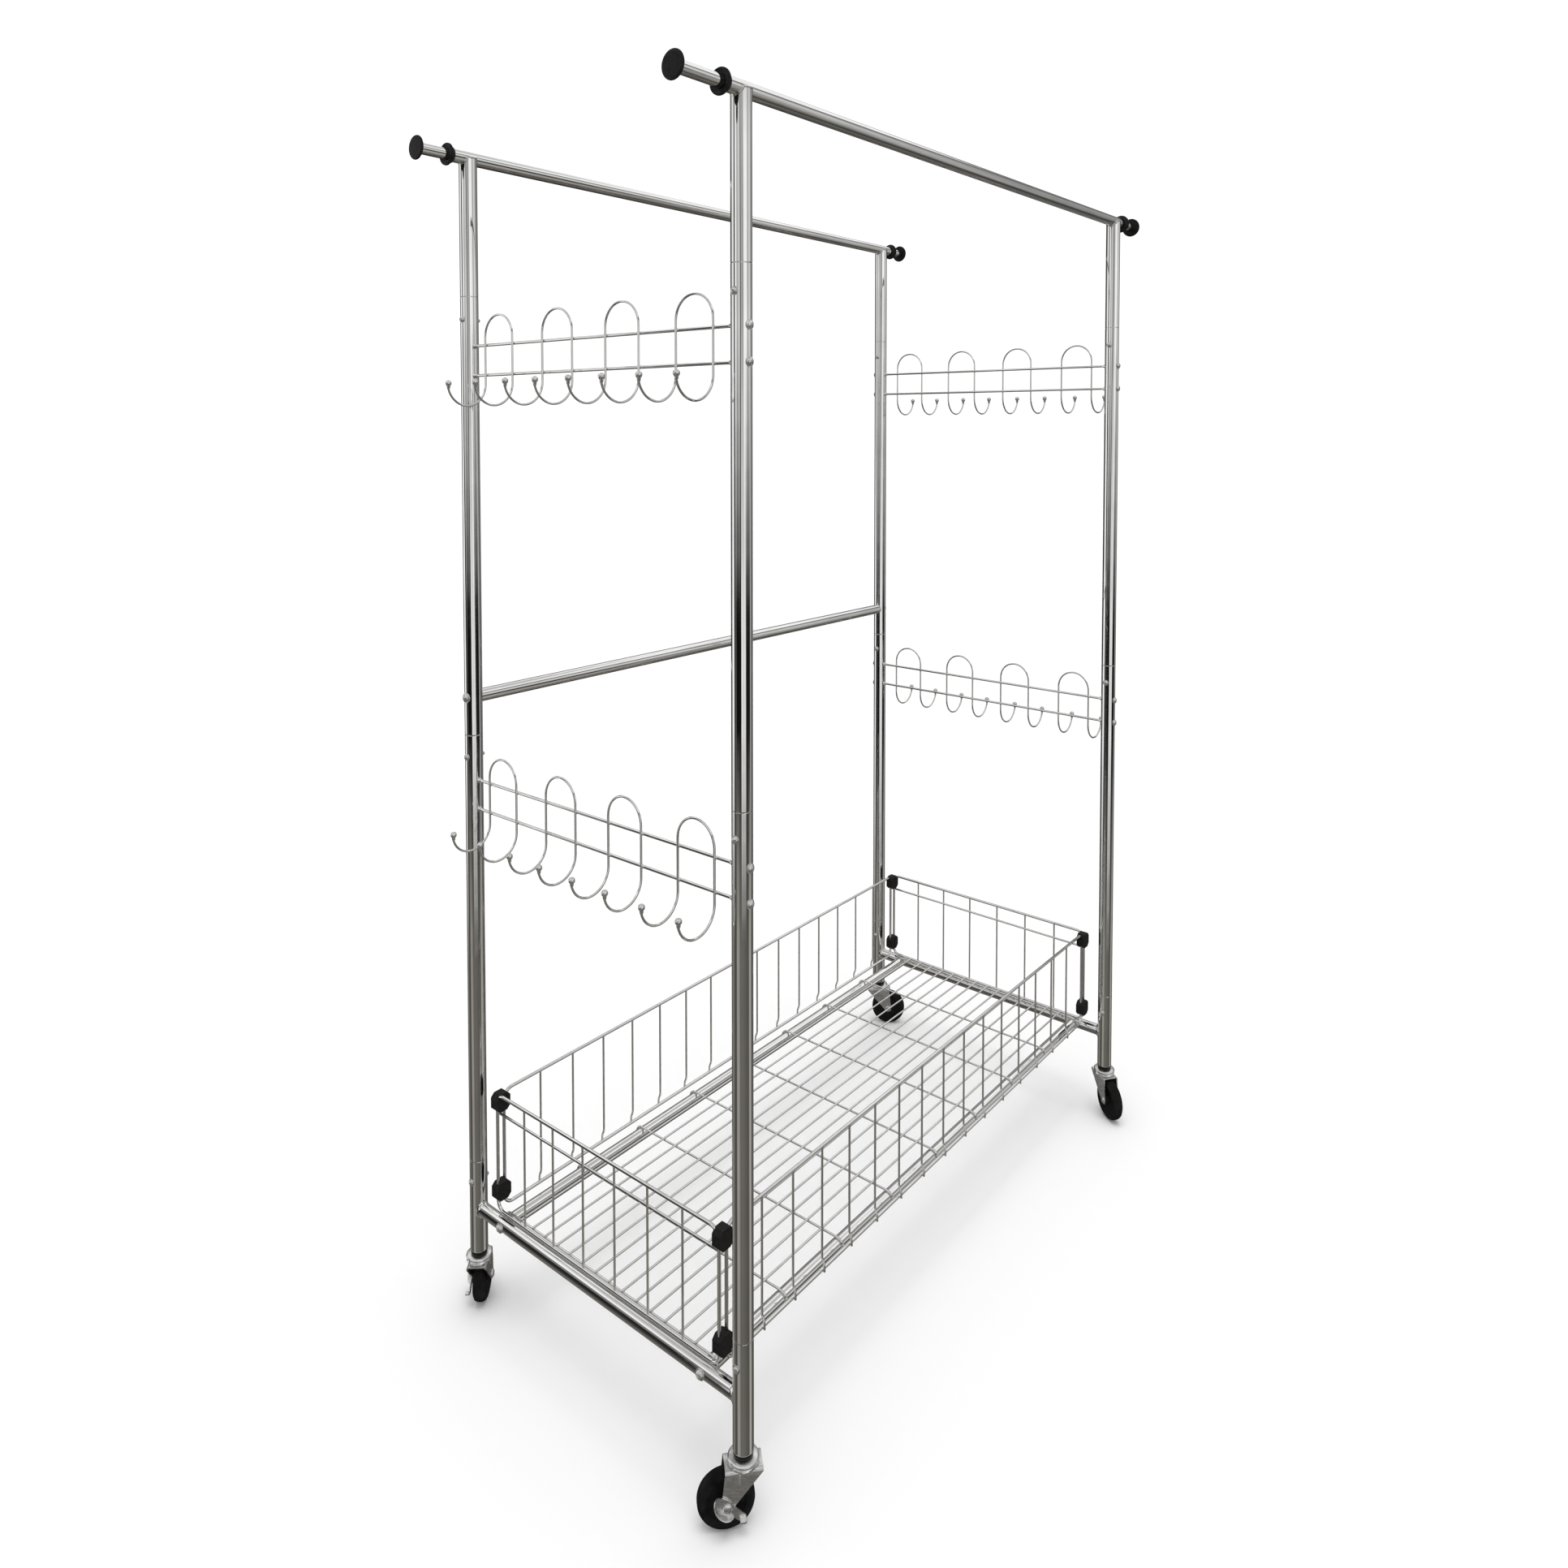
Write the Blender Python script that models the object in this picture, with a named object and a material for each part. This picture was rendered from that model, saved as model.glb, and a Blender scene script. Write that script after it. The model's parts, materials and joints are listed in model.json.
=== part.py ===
"""A rolling double-rail garment rack with hook racks and a wire basket at its foot.

Metres, +Z up. X runs along the hanging rails, Y across the rack, and the floor is z = 0. The left
end is at -X and the front at -Y. Sizes below are written in millimetres and multiplied by MM.
"""

import math

import bmesh
import bpy
from mathutils import Matrix, Vector

MM = 0.001
GAP = 0.3 * MM  # between pieces that touch
X_SIDES = {"left": -1, "right": 1}
Y_SIDES = {"front": -1, "rear": 1}
CORNERS = [(y_side, x_side) for y_side in Y_SIDES for x_side in X_SIDES]

# Overall layout: four posts on a rectangle, in sections that plug into each other
LENGTH = 1040 * MM  # between post axes, along the rails
WIDTH = 520 * MM  # between post axes, across the rack
LEG_FOOT = 91 * MM  # lower end of each leg
LOW_SEAM = 227 * MM
MID_SEAM = 857.5 * MM
TOP_SEAM = 1488 * MM
RAIL_HEIGHT = 1685 * MM
MID_RAIL_HEIGHT = 912 * MM
CROSS_HEIGHT = 153 * MM

# Wires: a frame wire has six sides, and a thin one has four, so its radius is half its diagonal
FRAME_WIRE_RADIUS = 2.5 * MM
THIN_WIRE_RADIUS = 1.85 * MM

# Tubes: outer radius, bore radius
POST = (12.7 * MM, 11.2 * MM)
SPIGOT = (10.9 * MM, 9.7 * MM)
SPIGOT_LENGTH = 48 * MM
RAIL = (9.5 * MM, 8.5 * MM)
ROD = (8.0 * MM, 7.0 * MM)
TUBE_SIDES = 12

# Hanging rails, their telescopic rods and plastic fittings
RAIL_OVERHANG = 32 * MM  # rail end beyond the post axis
STUB_BORE_END = 8 * MM  # solid length of a rail stub below the rail's underside
COLLAR_FACE = 37 * MM  # outer face of the collar beyond the post axis
ROD_LENGTH = 320 * MM
ROD_TRAVEL = 200 * MM
ROD_OUT = {  # how far each rod stands out of its collar at rest
    ("front", "left"): 70 * MM,
    ("front", "right"): 44 * MM,
    ("rear", "left"): 44 * MM,
    ("rear", "right"): 32 * MM,
}

# Hook racks: two wires between the posts, carrying four arches that end in hooks
RACK_TOP_WIRE = {"upper": TOP_SEAM - 70 * MM, "lower": MID_SEAM - 66 * MM}
RACK_WIRE_STEP = 42 * MM
RACK_WIRE_RADIUS = 2.2 * MM
ARCH_WIRE_OFFSET = 2.4 * MM  # from the straight wires outwards
ARCH_COUNT = 4
ARCH_PITCH = 125.5 * MM
ARCH_WIDTH = 61 * MM
ARCH_RISE = 10.5 * MM  # straight leg above the top wire, before the arch bends
HOOK_DROP = 13 * MM  # straight leg below the lower wire, before the hook bends
HOOK_RADIUS = 31 * MM
HOOK_BALL_RADIUS = 4.2 * MM

# Basket: floor grid, four wire fences and eight corner clips
SHELF_TUBE_INSET = 62 * MM
END_FENCE_INSET = 4 * MM
LONG_FENCE_INSET = 41 * MM
FENCE_TOP = 336 * MM
FENCE_BOTTOM = {"end": CROSS_HEIGHT + RAIL[0] + 2.8 * MM, "long": 165 * MM}
SECOND_WIRE = 308 * MM
SECOND_WIRE_OFFSET = 1 * MM  # it runs beside the uprights
FENCE_CORNER_INSET = {"end": 42 * MM, "long": 16 * MM}
FENCE_CORNER_RADIUS = 14 * MM
FENCE_PITCH = 62.5 * MM
FENCE_UPRIGHTS = {"end": 6, "long": 15}
GRID_WIRE_STEP = 2.3 * MM  # from the cross wires up to the long wires
GRID_LONG_WIRES = 14
GRID_LONG_PITCH = 26.5 * MM
GRID_CROSS_WIRES = 7
GRID_END_INSET = 11 * MM
CLIP_SIZE = (24 * MM, 14 * MM, 26 * MM)
CLIP_BEVEL = 3 * MM
CHANNEL_RADIUS = 3.2 * MM
CLIP_HEIGHTS = {"upper": 323.5 * MM, "lower": 192 * MM}

# Castors
WHEEL_RADIUS = 35 * MM
WHEEL_SIDES = 24
WHEEL_WIDTH = 18 * MM
AXLE_HEIGHT = WHEEL_RADIUS * math.cos(math.pi / WHEEL_SIDES)  # a flat of the tread lies on the floor
AXLE_RADIUS = 4 * MM
CASTOR_TRAIL = 21 * MM
FORK_INSIDE = 24.6 * MM
FORK_PLATE = 2 * MM
LEVER_PLATE = 1.6 * MM
CROWN_TOP = 76.5 * MM
CROWN_HALF_LENGTH = 22.5 * MM
RACE_RADIUS = 19 * MM
RACE_STEP = 3 * MM  # the lower race, pressed up from the crown
FORK_ROUND = 6.8 * MM  # rounded end of each side plate, about the axle
PEDAL = (31 * MM, 17 * MM)
PEDAL_PLACE = (3 * MM, 2 * MM)  # its middle, from the axle: trailing, up
PEDAL_TILT = math.radians(42)
SWIVEL_REST = {  # direction in which each wheel trails its post, degrees from +X
    ("front", "left"): 139,
    ("rear", "left"): 42,
    ("front", "right"): -126,
    ("rear", "right"): -58,
}
BRAKED_END = "left"

COLOURS = {  # base colour, roughness, metallic
    "chrome": ((0.82, 0.82, 0.80), 0.08, 1.0),
    "zinc": ((0.70, 0.70, 0.68), 0.32, 1.0),
    "black_plastic": ((0.02, 0.02, 0.02), 0.45, 0.0),
    "black_rubber": ((0.015, 0.015, 0.015), 0.6, 0.0),
}


# ---------------------------------------------------------------- scene and materials


def clear_scene():
    for obj in list(bpy.data.objects):
        bpy.data.objects.remove(obj, do_unlink=True)


def material(kind):
    found = bpy.data.materials.get(kind)
    if found:
        return found
    colour, roughness, metallic = COLOURS[kind]
    made = bpy.data.materials.new(kind)
    made.use_nodes = True
    shader = made.node_tree.nodes["Principled BSDF"]
    shader.inputs["Base Color"].default_value = (*colour, 1)
    shader.inputs["Roughness"].default_value = roughness
    shader.inputs["Metallic"].default_value = metallic
    made.diffuse_color = (*colour, 1)
    return made


def post_axis(y_side, x_side, height=0.0):
    return Vector((X_SIDES[x_side] * LENGTH / 2, Y_SIDES[y_side] * WIDTH / 2, height))


# ---------------------------------------------------------------- shapes


def shape(mesh):
    """A temporary object for a mesh, so that modifiers can work on it."""
    obj = bpy.data.objects.new("shape", mesh)
    bpy.context.scene.collection.objects.link(obj)
    return obj


def shape_from_bmesh(bm):
    bmesh.ops.remove_doubles(bm, verts=bm.verts, dist=1e-6)
    bmesh.ops.recalc_face_normals(bm, faces=bm.faces)
    mesh = bpy.data.meshes.new("shape")
    bm.to_mesh(mesh)
    bm.free()
    return shape(mesh)


def turned(profile, sides=TUBE_SIDES):
    """A solid turned about Z from (radius, height) points; it is closed where it leaves the axis."""
    bm = bmesh.new()
    points = [bm.verts.new((radius, 0, height)) for radius, height in profile]
    edges = [bm.edges.new(pair) for pair in zip(points, points[1:])]
    if profile[0][0] > 0:
        edges.append(bm.edges.new((points[-1], points[0])))
    half_step = Matrix.Rotation(math.pi / sides, 3, "Z")
    bmesh.ops.rotate(bm, verts=points, cent=(0, 0, 0), matrix=half_step)
    bmesh.ops.spin(
        bm,
        geom=points + edges,
        cent=(0, 0, 0),
        axis=(0, 0, 1),
        angle=math.tau,
        steps=sides,
        use_merge=True,
    )
    return shape_from_bmesh(bm)


def pipe_profile(radii, low, high):
    outer, inner = radii
    return [(outer, low), (outer, high), (inner, high), (inner, low)]


def rod_profile(radius, low, high):
    return [(0, low), (radius, low), (radius, high), (0, high)]


def plate(outline, thickness):
    """A flat plate in the XZ plane, with its thickness centred on y = 0."""
    bm = bmesh.new()
    face = bm.faces.new([bm.verts.new((x, -thickness / 2, z)) for x, z in outline])
    grown = bmesh.ops.extrude_face_region(bm, geom=[face])["geom"]
    moved = [item for item in grown if isinstance(item, bmesh.types.BMVert)]
    bmesh.ops.translate(bm, verts=moved, vec=(0, thickness, 0))
    return shape_from_bmesh(bm)


def block(size, centre, bevel=0.0):
    bm = bmesh.new()
    bmesh.ops.create_cube(bm, size=1)
    bmesh.ops.scale(bm, vec=size, verts=bm.verts)
    if bevel:
        bmesh.ops.bevel(bm, geom=bm.edges, offset=bevel, segments=1, affect="EDGES")
    bmesh.ops.translate(bm, vec=centre, verts=bm.verts)
    return shape_from_bmesh(bm)


def wire(points, radius, closed=False, swell=None):
    """A wire through the points; swell gives each point's share of the radius."""
    curve = bpy.data.curves.new("wire", "CURVE")
    curve.dimensions = "3D"
    curve.bevel_depth = radius
    curve.bevel_resolution = 0 if radius == THIN_WIRE_RADIUS else 1
    curve.use_fill_caps = not closed
    spline = curve.splines.new("POLY")
    spline.points.add(len(points) - 1)
    spline.use_cyclic_u = closed
    for index, point in enumerate(points):
        spline.points[index].co = (*point, 1)
        spline.points[index].radius = swell[index] if swell else 1
    guide = bpy.data.objects.new("wire", curve)
    bpy.context.scene.collection.objects.link(guide)
    mesh = evaluated_mesh(guide)
    bpy.data.objects.remove(guide, do_unlink=True)
    bm = bmesh.new()
    bm.from_mesh(mesh)
    return shape_from_bmesh(bm)


def evaluated_mesh(obj):
    bpy.context.view_layer.update()
    graph = bpy.context.evaluated_depsgraph_get()
    return bpy.data.meshes.new_from_object(obj.evaluated_get(graph))


def moved(obj, location=(0, 0, 0), turn=0.0, axis="Z"):
    """Turns a shape's mesh about an axis of the origin, then shifts it."""
    obj.data.transform(Matrix.Translation(location) @ Matrix.Rotation(turn, 4, axis))
    return obj


def combined(base, others, operation):
    """The base joined with the others or cut by them."""
    tools = bpy.data.collections.new("tools")
    bpy.context.scene.collection.children.link(tools)
    for other in others:
        bpy.context.scene.collection.objects.unlink(other)
        tools.objects.link(other)
    modifier = base.modifiers.new("combined", "BOOLEAN")
    modifier.operation = operation
    modifier.operand_type = "COLLECTION"
    modifier.collection = tools
    mesh = evaluated_mesh(base)
    for obj in [base, *others]:
        bpy.data.objects.remove(obj, do_unlink=True)
    bpy.data.collections.remove(tools)
    return shape(mesh)


def joined(shapes):
    return combined(shapes[0], shapes[1:], "UNION")


def cut(base, cutters):
    return combined(base, cutters, "DIFFERENCE")


def node(name, obj, kind, origin=(0, 0, 0), parent=None):
    """Names a shape, gives it its material, and puts its origin on its own axis."""
    origin = Vector(origin)
    obj.name = name
    obj.data.name = name
    obj.data.transform(Matrix.Translation(-origin))
    obj.data.materials.clear()
    obj.data.materials.append(material(kind))
    obj.data.shade_smooth()
    obj.data.set_sharp_from_angle(angle=math.radians(35))
    obj.parent = parent
    obj.location = origin - (parent.matrix_world.translation if parent else Vector())
    bpy.context.view_layer.update()
    return obj


def arc(centre, radius, start, end, steps):
    """Points on a circle in a plane, angles in degrees, as (across, up) pairs."""
    for step in range(steps + 1):
        angle = math.radians(start + (end - start) * step / steps)
        yield centre[0] + radius * math.cos(angle), centre[1] + radius * math.sin(angle)


# ---------------------------------------------------------------- posts and top rails


def spigot_profile(seam, top, solid_above=None):
    """A post section from its seam up, with a thinner spigot that plugs into the one below."""
    outer, bore = POST
    foot = seam - SPIGOT_LENGTH
    lower = [(SPIGOT[1], foot), (SPIGOT[0], foot), (SPIGOT[0], seam), (outer, seam), (outer, top)]
    if solid_above:
        return [(0, top), *reversed(lower), (SPIGOT[1], solid_above), (0, solid_above)]
    return [*lower, (bore, top), (bore, seam + 3 * MM), (SPIGOT[1], seam)]


def top_rail(y_side):
    middle = Y_SIDES[y_side] * WIDTH / 2
    half = LENGTH / 2 + RAIL_OVERHANG
    tube = moved(turned(rod_profile(RAIL[0], -half, half)), (0, middle, RAIL_HEIGHT), math.pi / 2, "Y")
    bore = moved(
        turned(rod_profile(RAIL[1], -half - MM, half + MM)),
        (0, middle, RAIL_HEIGHT),
        math.pi / 2,
        "Y",
    )
    stub_top = RAIL_HEIGHT - 1.5 * MM
    bore_top = RAIL_HEIGHT - RAIL[0] - STUB_BORE_END
    stubs = []
    for x_side in X_SIDES:
        stub = turned(spigot_profile(TOP_SEAM + GAP, stub_top, bore_top))
        stubs.append(moved(stub, post_axis(y_side, x_side)))
    node(f"top_rail_{y_side}", cut(joined([tube, *stubs]), [bore]), "chrome", (0, middle, RAIL_HEIGHT))


def upper_post(y_side, x_side):
    profile = spigot_profile(MID_SEAM + GAP, TOP_SEAM)
    place = post_axis(y_side, x_side)
    node(f"upper_post_{y_side}_{x_side}", moved(turned(profile), place), "chrome", place)


def lower_post(y_side, x_side):
    profile = spigot_profile(LOW_SEAM + GAP, MID_SEAM)
    place = post_axis(y_side, x_side)
    node(f"lower_post_{y_side}_{x_side}", moved(turned(profile), place), "chrome", place)


def mid_rail():
    """The hanging bar on the rear side, its ends shaped to the two posts, and its bolts."""
    middle = WIDTH / 2
    half = LENGTH / 2 - POST[0] - GAP
    tube = turned(pipe_profile(RAIL, -half, half))
    place = (0, middle, MID_RAIL_HEIGHT)
    node("mid_rail", moved(tube, place, math.pi / 2, "Y"), "chrome", place)
    for x_side, sign in X_SIDES.items():
        face = LENGTH / 2 + POST[0] + GAP
        head = [(0, 0), (7 * MM, 0), (6.2 * MM, 2.2 * MM), (3.5 * MM, 3.6 * MM), (0, 4 * MM)]
        bolt = moved(turned(head), turn=sign * math.pi / 2, axis="Y")
        place = (sign * face, middle, MID_RAIL_HEIGHT)
        node(f"mid_rail_bolt_{x_side}", moved(bolt, place), "chrome", place)


# ---------------------------------------------------------------- telescopic rods


def rail_collar(y_side, x_side):
    """A plastic ring over the rail's end, dished round the rod that slides through it."""
    bore = ROD[0] + 0.25 * MM
    skirt = RAIL[0] + GAP
    profile = [
        (bore, 1.2 * MM),
        (11.5 * MM, 1.2 * MM),
        (14.0 * MM, 0),
        (15.8 * MM, 1.0 * MM),
        (15.8 * MM, 3.4 * MM),
        (12.5 * MM, 6.0 * MM),
        (11.6 * MM, 9.5 * MM),
        (skirt, 9.5 * MM),
        (skirt, 4.6 * MM),
        (bore, 4.6 * MM),
    ]
    sign = X_SIDES[x_side]
    place = post_axis(y_side, x_side, RAIL_HEIGHT) + Vector((sign * COLLAR_FACE, 0, 0))
    ring = moved(turned(profile), place, -sign * math.pi / 2, "Y")
    node(f"rail_collar_{y_side}_{x_side}", ring, "black_plastic", place)


def extension_rod(y_side, x_side):
    """The sliding rod, with the mushroom cap that plugs its outer end."""
    sign = X_SIDES[x_side]
    out = COLLAR_FACE + ROD_OUT[y_side, x_side]
    place = post_axis(y_side, x_side, RAIL_HEIGHT) + Vector((sign * out, 0, 0))
    turn = sign * math.pi / 2
    tube = turned(pipe_profile(ROD, -ROD_LENGTH, -GAP))
    rod = node(f"extension_rod_{y_side}_{x_side}", moved(tube, place, turn, "Y"), "chrome", place)
    plug = ROD[1] - GAP
    profile = [
        (0, -14 * MM),
        (plug - 0.8 * MM, -14 * MM),
        (plug, -12 * MM),
        (plug, 0),
        (15.5 * MM, 0),
        (17 * MM, 1.4 * MM),
        (16 * MM, 3.2 * MM),
        (13 * MM, 4 * MM),
        (0, 4 * MM),
    ]
    cap = moved(turned(profile), place, turn, "Y")
    node(f"rod_end_cap_{y_side}_{x_side}", cap, "black_plastic", place, rod)


# ---------------------------------------------------------------- hook racks


def arch_points(middle, top_wire, outward):
    """One wire bent into an arch, both legs ending in hooks that point outwards."""
    plane = outward * ARCH_WIRE_OFFSET
    bend = top_wire - RACK_WIRE_STEP - HOOK_DROP
    hook = list(arc((HOOK_RADIUS, bend), HOOK_RADIUS, 0, -180, 4))
    ball = [(2 * HOOK_RADIUS, bend + rise * HOOK_BALL_RADIUS) for rise in (1.7, 0.9, 0.2)]
    ball_size = HOOK_BALL_RADIUS / THIN_WIRE_RADIUS
    reach = [*ball, *hook]
    swell = [0.6 * ball_size, ball_size, ball_size / 2, *[1] * len(hook)]
    leg = ARCH_WIDTH / 2
    first = [(plane + outward * across, middle - leg, up) for across, up in reach]
    last = [(x, middle + leg, up) for x, _, up in reversed(first)]
    top = [(plane, middle + y, z) for y, z in arc((0, top_wire + ARCH_RISE), leg, 180, 0, 4)]
    return [*first, *top, *last], [*swell, *[1] * len(top), *reversed(swell)]


def hook_rack(level, x_side):
    outward = X_SIDES[x_side]
    top_wire = RACK_TOP_WIRE[level]
    place = Vector((outward * LENGTH / 2, 0, top_wire))
    end = WIDTH / 2 - POST[0] - GAP
    pieces = []
    for height in (0, -RACK_WIRE_STEP):
        bar = wire([(0, -end, top_wire + height), (0, end, top_wire + height)], RACK_WIRE_RADIUS)
        pieces.append(bar)
    for index in range(ARCH_COUNT):
        middle = (index - (ARCH_COUNT - 1) / 2) * ARCH_PITCH
        points, swell = arch_points(middle, top_wire, outward)
        pieces.append(wire(points, THIN_WIRE_RADIUS, swell=swell))
    rack = moved(joined(pieces), (outward * LENGTH / 2, 0, 0))
    node(f"hook_rack_{level}_{x_side}", rack, "chrome", place)


# ---------------------------------------------------------------- base


def base_frame(x_side):
    """Two legs and the tube welded between them, open at the top for posts and below for castors."""
    x = X_SIDES[x_side] * LENGTH / 2
    legs = []
    bores = []
    for y_side in Y_SIDES:
        place = post_axis(y_side, x_side)
        legs.append(moved(turned(rod_profile(POST[0], LEG_FOOT, LOW_SEAM)), place))
        socket = rod_profile(POST[1], LOW_SEAM - SPIGOT_LENGTH - 3 * MM, LOW_SEAM + MM)
        bores.append(moved(turned(socket), place))
        stem_hole = rod_profile(POST[1], LEG_FOOT - MM, LEG_FOOT + 42 * MM)
        bores.append(moved(turned(stem_hole), place))
    cross = turned(rod_profile(RAIL[0], -WIDTH / 2, WIDTH / 2))
    cross = moved(cross, (x, 0, CROSS_HEIGHT), math.pi / 2, "X")
    frame = cut(joined([*legs, cross]), bores)
    node(f"base_frame_{x_side}", frame, "chrome", (x, 0, CROSS_HEIGHT))


def shelf_tube(y_side):
    place = (0, Y_SIDES[y_side] * (WIDTH / 2 - SHELF_TUBE_INSET), CROSS_HEIGHT)
    half = LENGTH / 2 - RAIL[0] - GAP
    tube = moved(turned(pipe_profile(RAIL, -half, half)), place, math.pi / 2, "Y")
    node(f"shelf_tube_{y_side}", tube, "chrome", place)


# ---------------------------------------------------------------- basket


def stand(kind, across, up, out=0.0):
    """A point of a fence: the long fences stand in the XZ plane and the end fences in the YZ plane."""
    return (across, out, up) if kind == "long" else (out, across, up)


def fence_place(kind, sign):
    if kind == "long":
        return (0, sign * (WIDTH / 2 - LONG_FENCE_INSET), 0)
    return (sign * (LENGTH / 2 - END_FENCE_INSET), 0, 0)


def fence_frame(kind, sign, radius):
    """The closed outer wire of one fence, with rounded corners, in its place."""
    span = LENGTH if kind == "long" else WIDTH
    r = FENCE_CORNER_RADIUS
    right = span / 2 - FENCE_CORNER_INSET[kind] - r
    top = FENCE_TOP - r
    bottom = FENCE_BOTTOM[kind] + r
    corners = [(right, top, 0), (-right, top, 90), (-right, bottom, 180), (right, bottom, 270)]
    points = []
    for across, up, start in corners:
        points += [stand(kind, *point) for point in arc((across, up), r, start, start + 90, 3)]
    return moved(wire(points, radius, True), fence_place(kind, sign))


def fence(name, kind, sign):
    """The outer wire with evenly spaced uprights; an end fence has a second wire under its top."""
    place = fence_place(kind, sign)
    pieces = [fence_frame(kind, sign, FRAME_WIRE_RADIUS)]
    count = FENCE_UPRIGHTS[kind]
    for index in range(count):
        across = (index - (count - 1) / 2) * FENCE_PITCH
        ends = [stand(kind, across, FENCE_BOTTOM[kind]), stand(kind, across, FENCE_TOP)]
        pieces.append(moved(wire(ends, THIN_WIRE_RADIUS), place))
    if kind == "end":
        half = WIDTH / 2 - FENCE_CORNER_INSET[kind]
        ends = [stand(kind, across, SECOND_WIRE, SECOND_WIRE_OFFSET) for across in (-half, half)]
        pieces.append(moved(wire(ends, THIN_WIRE_RADIUS), place))
    node(name, joined(pieces), "chrome", place)


def fences():
    for y_side, sign in Y_SIDES.items():
        fence(f"basket_fence_{y_side}", "long", sign)
    for x_side, sign in X_SIDES.items():
        fence(f"basket_fence_{x_side}", "end", sign)


def basket_floor():
    """Long wires on top of cross wires, which lie across the two shelf tubes."""
    cross_z = CROSS_HEIGHT + RAIL[0] + THIN_WIRE_RADIUS + GAP
    long_z = cross_z + GRID_WIRE_STEP
    half_x = LENGTH / 2 - GRID_END_INSET
    half_y = WIDTH / 2 - SHELF_TUBE_INSET + 4 * MM
    pieces = []
    for index in range(GRID_LONG_WIRES):
        y = (index - (GRID_LONG_WIRES - 1) / 2) * GRID_LONG_PITCH
        pieces.append(wire([(-half_x, y, long_z), (half_x, y, long_z)], THIN_WIRE_RADIUS))
    places = [(index - (GRID_CROSS_WIRES - 1) / 2) * 2 * FENCE_PITCH for index in range(GRID_CROSS_WIRES)]
    for x in [-half_x, *places, half_x]:
        pieces.append(wire([(x, -half_y, cross_z), (x, half_y, cross_z)], THIN_WIRE_RADIUS))
    node("basket_floor", joined(pieces), "chrome", (0, 0, cross_z))


def corner_clips():
    """Black clips at each corner that grip the outer wires of the two fences meeting there."""
    x_inset = (END_FENCE_INSET + FENCE_CORNER_INSET["long"]) / 2
    y_inset = (LONG_FENCE_INSET + FENCE_CORNER_INSET["end"]) / 2
    for y_side, x_side in CORNERS:
        x_out = X_SIDES[x_side]
        y_out = Y_SIDES[y_side]
        for level, height in CLIP_HEIGHTS.items():
            place = (x_out * (LENGTH / 2 - x_inset), y_out * (WIDTH / 2 - y_inset), height)
            body = block(CLIP_SIZE, place, CLIP_BEVEL)
            channels = [fence_frame("long", y_out, CHANNEL_RADIUS), fence_frame("end", x_out, CHANNEL_RADIUS)]
            name = f"corner_clip_{level}_{y_side}_{x_side}"
            node(name, cut(body, channels), "black_plastic", place)


# ---------------------------------------------------------------- castors


def castor_stem(y_side, x_side):
    """The expander stem that grips the leg's bore, with the upper half of the swivel race."""
    sleeve = POST[1] - GAP
    low = CROWN_TOP + RACE_STEP + GAP
    profile = [
        (0, low),
        (RACE_RADIUS - 2 * MM, low),
        (RACE_RADIUS, low + 1.5 * MM),
        (RACE_RADIUS - 1 * MM, low + 4 * MM),
        (12 * MM, low + 5.5 * MM),
        (12 * MM, LEG_FOOT - GAP),
        (sleeve, LEG_FOOT - GAP),
        (sleeve, LEG_FOOT + 36 * MM),
        (sleeve - 2 * MM, LEG_FOOT + 39 * MM),
        (0, LEG_FOOT + 39 * MM),
    ]
    place = post_axis(y_side, x_side)
    node(f"castor_stem_{y_side}_{x_side}", moved(turned(profile), place), "zinc", place)


def castor_fork(y_side, x_side):
    """Crown plate, two side plates and the riveted axle, trailing towards local +X."""
    half_width = FORK_INSIDE / 2 + FORK_PLATE
    low = CROWN_TOP - FORK_PLATE
    crown = block(
        (2 * CROWN_HALF_LENGTH, 2 * half_width, FORK_PLATE),
        (0, 0, CROWN_TOP - FORK_PLATE / 2),
    )
    race_top = CROWN_TOP + RACE_STEP
    race_foot = low + 0.5 * MM  # inside the crown plate
    rim = RACE_RADIUS - 2 * MM
    race = turned([(0, race_foot), (rim + 1 * MM, race_foot), (rim, race_top), (0, race_top)])
    outline = [(-CROWN_HALF_LENGTH, CROWN_TOP - 0.5 * MM), (-CROWN_HALF_LENGTH, low - 2 * MM)]
    outline += arc((CASTOR_TRAIL, AXLE_HEIGHT), FORK_ROUND, 216, 365, 5)
    outline += [(CROWN_HALF_LENGTH + 1.5 * MM, low - 6 * MM), (CROWN_HALF_LENGTH, CROWN_TOP - 0.5 * MM)]
    sides = []
    for sign in (-1, 1):
        side = plate(outline, FORK_PLATE)
        sides.append(moved(side, (0, sign * (half_width - FORK_PLATE / 2), 0)))
    plain_head = half_width - 0.2 * MM
    lever_head = half_width + LEVER_PLATE + 2 * GAP if x_side == BRAKED_END else plain_head
    rivet = [
        (0, -plain_head - 2.5 * MM),
        (AXLE_RADIUS + 1.5 * MM, -plain_head - 1.7 * MM),
        (AXLE_RADIUS + 2 * MM, -plain_head),
        (AXLE_RADIUS, -plain_head + MM),
        (AXLE_RADIUS, lever_head),
        (AXLE_RADIUS + 2 * MM, lever_head),
        (AXLE_RADIUS + 1.5 * MM, lever_head + 1.7 * MM),
        (0, lever_head + 2.5 * MM),
    ]
    # Turning +Z to local +Y puts the lever's end of the axle on the lever's side.
    axle = moved(turned(rivet), (CASTOR_TRAIL, 0, AXLE_HEIGHT), -math.pi / 2, "X")
    fork = joined([crown, race, *sides, axle])
    place = post_axis(y_side, x_side)
    turn = math.radians(SWIVEL_REST[y_side, x_side])
    fork = moved(fork, place, turn)
    return node(f"castor_fork_{y_side}_{x_side}", fork, "zinc", place)


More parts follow.
